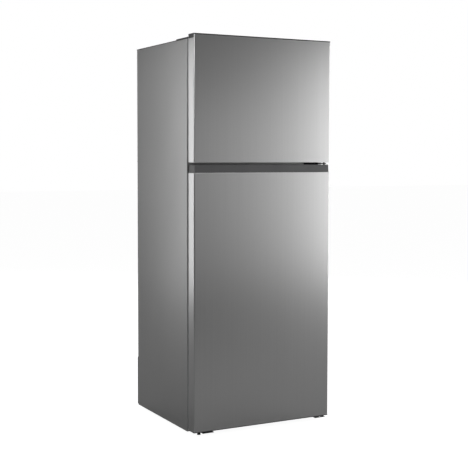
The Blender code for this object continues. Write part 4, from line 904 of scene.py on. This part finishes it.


# each route starts inside the compressor's shell, and its points are given one by one
makeTube("suctionTube", tubeShape["suction"], [
    (0.078, 0.205, 0.120), (0.040, 0.205, 0.120), (0.010, 0.195, 0.118), (-0.010, 0.185, 0.130),
    (-0.012, 0.178, 0.170), (-0.012, 0.172, 0.215), (-0.012, 0.160, 0.232),
])
makeTube("dischargeTube", tubeShape["discharge"], [
    (0.080, 0.240, 0.080), (0.050, 0.245, 0.080), (0.036, 0.245, 0.070), (0.030, 0.238, 0.055),
    (0.026, 0.228, 0.045), (0.018, 0.226, 0.0405),
])
makeTube("processTube", tubeShape["process"], [
    (0.215, 0.262, 0.095), (0.236, 0.275, 0.095), (0.240, 0.284, 0.100), (0.240, 0.286, 0.125),
    (0.240, 0.286, 0.140),
])

glide = {
    "place": (-0.0020, -0.277),  # from the foot bracket's left end, and across from the middle of the cabinet
    "radius": 0.0074, "flare": 0.0086, "foot": 0.0045, "lift": 0.0030, "edge": 0.0008,
    "reach": 0.00725, "armWidth": 0.018, "armOverlap": 0.001, "armCorner": 0.005, "armEdge": 0.0004,
}


def makeGlide():
    # short rubber stud under an arm that the foot bracket holds out at its front corner
    along, across = glide["place"]
    middle = Vector((footPlate[0].x + along, across, 0))
    half = glide["armWidth"] / 2
    outer = middle.x - glide["reach"]
    arm = addBlock(
        "bracketArm", (outer, middle.y - half, footPlate[0].z),
        (footPlate[0].x + glide["armOverlap"], middle.y + half, footPlate[1].z),
    )

    def upright(a, b):
        return abs(a.z - b.z) > hair

    bevelEdges(
        arm, lambda a, b: both(a, b, lambda v: v.x < outer + hair) and upright(a, b), glide["armCorner"], 5,
    )
    softenEdges(arm, glide["armEdge"], 2)
    shadeSmooth(arm, 40)
    settle(arm, blackEnamel, cabinetBody)
    top = footPlate[0].z - seat
    height = top - glide["lift"]
    stud = addDrum("frontGlide", middle + Vector((0, 0, top - height / 2)), glide["radius"], height, "Z", 28)
    pick(stud, "FACE", lambda c, n: abs(n.z) < 0.1)
    bpy.ops.mesh.bisect(plane_co=(0, 0, glide["lift"] + glide["foot"]), plane_no=(0, 0, 1))
    closeEdit()
    pick(stud, "EDGE", lambda a, b: max(a.z, b.z) < glide["lift"] + hair)
    ratio = glide["flare"] / glide["radius"]
    bpy.ops.transform.resize(value=(ratio, ratio, 1), center_override=middle)
    closeEdit()
    softenEdges(stud, glide["edge"], 2)
    shadeSmooth(stud, 40)
    settle(stud, softRubber, cabinetBody)


makeGlide()


pointer = {"halfWidth": 0.0010, "depth": 0.0012, "start": 0.0060, "end": 0.0165, "edge": 0.0004}


def makePointer():
    # raised white line on the knob, from near its middle to its edge
    low, high = boxOf("temperature_knob")
    middle = (low + high) / 2
    half = pointer["halfWidth"]
    line = addBlock(
        "knobPointer", (middle.x - half, low.y, middle.z + pointer["start"]),
        (middle.x + half, low.y + pointer["depth"], middle.z + pointer["end"]),
    )
    softenEdges(line, pointer["edge"], 2)
    shadeSmooth(line, 40)
    settle(line, whiteLining, "knob")


makePointer()
print("small parts made")


# the floor and the backdrop are bright to the camera, and dim to the metal that mirrors them
studio = {"floorHalf": 30.0, "floorGlow": 0.955, "floorTone": "818181", "back": 1.0, "around": 0.10}

deselectAll()
bpy.ops.mesh.primitive_plane_add(size=2 * studio["floorHalf"], location=(0, 0, 0))
floor = bpy.context.active_object
floor.name = "studioFloor"
floorPaint = newMaterial("paleFloor", "floor", studio["floorTone"], Roughness=0.9)
seenFloor = addNode(floorPaint["tree"], "ShaderNodeLightPath")
glow = ranged(floorPaint, seenFloor.outputs["Is Camera Ray"], 0.0, studio["floorGlow"])
floorPaint["shader"].inputs["Emission Color"].default_value = (1, 1, 1, 1)
floorPaint["tree"].links.new(glow, floorPaint["shader"].inputs["Emission Strength"])
floor.data.materials.append(floorPaint["material"])

softBoxes = {
    # name: power in watts, width, height, place, aim
    "softBoxTop": (92, 3.0, 3.0, (0.0, -0.8, 3.6), (0.0, -0.8, 0.0)),
    "softBoxRight": (20, 2.0, 2.4, (4.0, -0.5, 1.4), (0.0, 0.0, 0.9)),
    "softBoxFrontRight": (82, 0.8, 2.1, (3.6, -3.3, 1.15), (3.6, 0.0, 1.15)),
    "softBoxFront": (1.2, 1.8, 1.4, (1.4, -3.3, 0.95), (1.4, 0.0, 0.95)),
    "softBoxRearLeft": (48, 1.6, 2.1, (-3.2, 3.0, 1.15), (-3.2, 0.0, 1.15)),
    "softBoxRearRight": (130, 2.0, 2.2, (3.2, 4.2, 2.0), (0.0, 0.3, 0.9)),
    "softBoxFrontLeft": (70, 1.8, 1.4, (-3.4, -3.8, 2.6), (0.0, 0.0, 0.9)),
}


def addSoftBox(name, power, width, height, place, aim):
    lamp = bpy.data.lights.new(name, "AREA")
    lamp.shape = "RECTANGLE"
    lamp.size = width
    lamp.size_y = height
    lamp.energy = power
    holder = bpy.data.objects.new(name, lamp)
    bpy.context.scene.collection.objects.link(holder)
    holder.location = place
    holder.rotation_euler = (Vector(aim) - Vector(place)).to_track_quat("-Z", "Y").to_euler()


for name, values in softBoxes.items():
    addSoftBox(name, *values)

world = bpy.data.worlds.new("studioAir")
bpy.context.scene.world = world
world.use_nodes = True
air = world.node_tree
background = air.nodes["Background"]
background.inputs["Color"].default_value = (1, 1, 1, 1)
seen = addNode(air, "ShaderNodeLightPath")
level = addNode(
    air, "ShaderNodeMapRange", {"To Min": studio["around"], "To Max": studio["back"]},
    {"Value": seen.outputs["Is Camera Ray"]},
)
air.links.new(level.outputs["Result"], background.inputs["Strength"])
bpy.context.scene.view_settings.view_transform = "Standard"

# angles in degrees; the focal length and the middle's level are in the units of the image width
view = {
    "place": (-2.2771, -4.3242, 1.2486), "yaw": 27.980, "pitch": 3.337, "roll": 0.097, "focal": 1021.33,
    "middle": 215.0, "imageWidth": 468,
}
imageWidth = view["imageWidth"]
camera = bpy.data.cameras.new("studioCamera")
camera.sensor_width = 36
camera.lens = view["focal"] / imageWidth * camera.sensor_width
camera.shift_y = (view["middle"] - imageWidth / 2) / imageWidth
cameraHolder = bpy.data.objects.new("studioCamera", camera)
bpy.context.scene.collection.objects.link(cameraHolder)
cameraHolder.matrix_world = (
    Matrix.Translation(view["place"])
    @ Matrix.Rotation(math.radians(-view["yaw"]), 4, "Z")
    @ Matrix.Rotation(math.radians(90 - view["pitch"]), 4, "X")
    @ Matrix.Rotation(math.radians(view["roll"]), 4, "Z")
)
bpy.context.scene.camera = cameraHolder
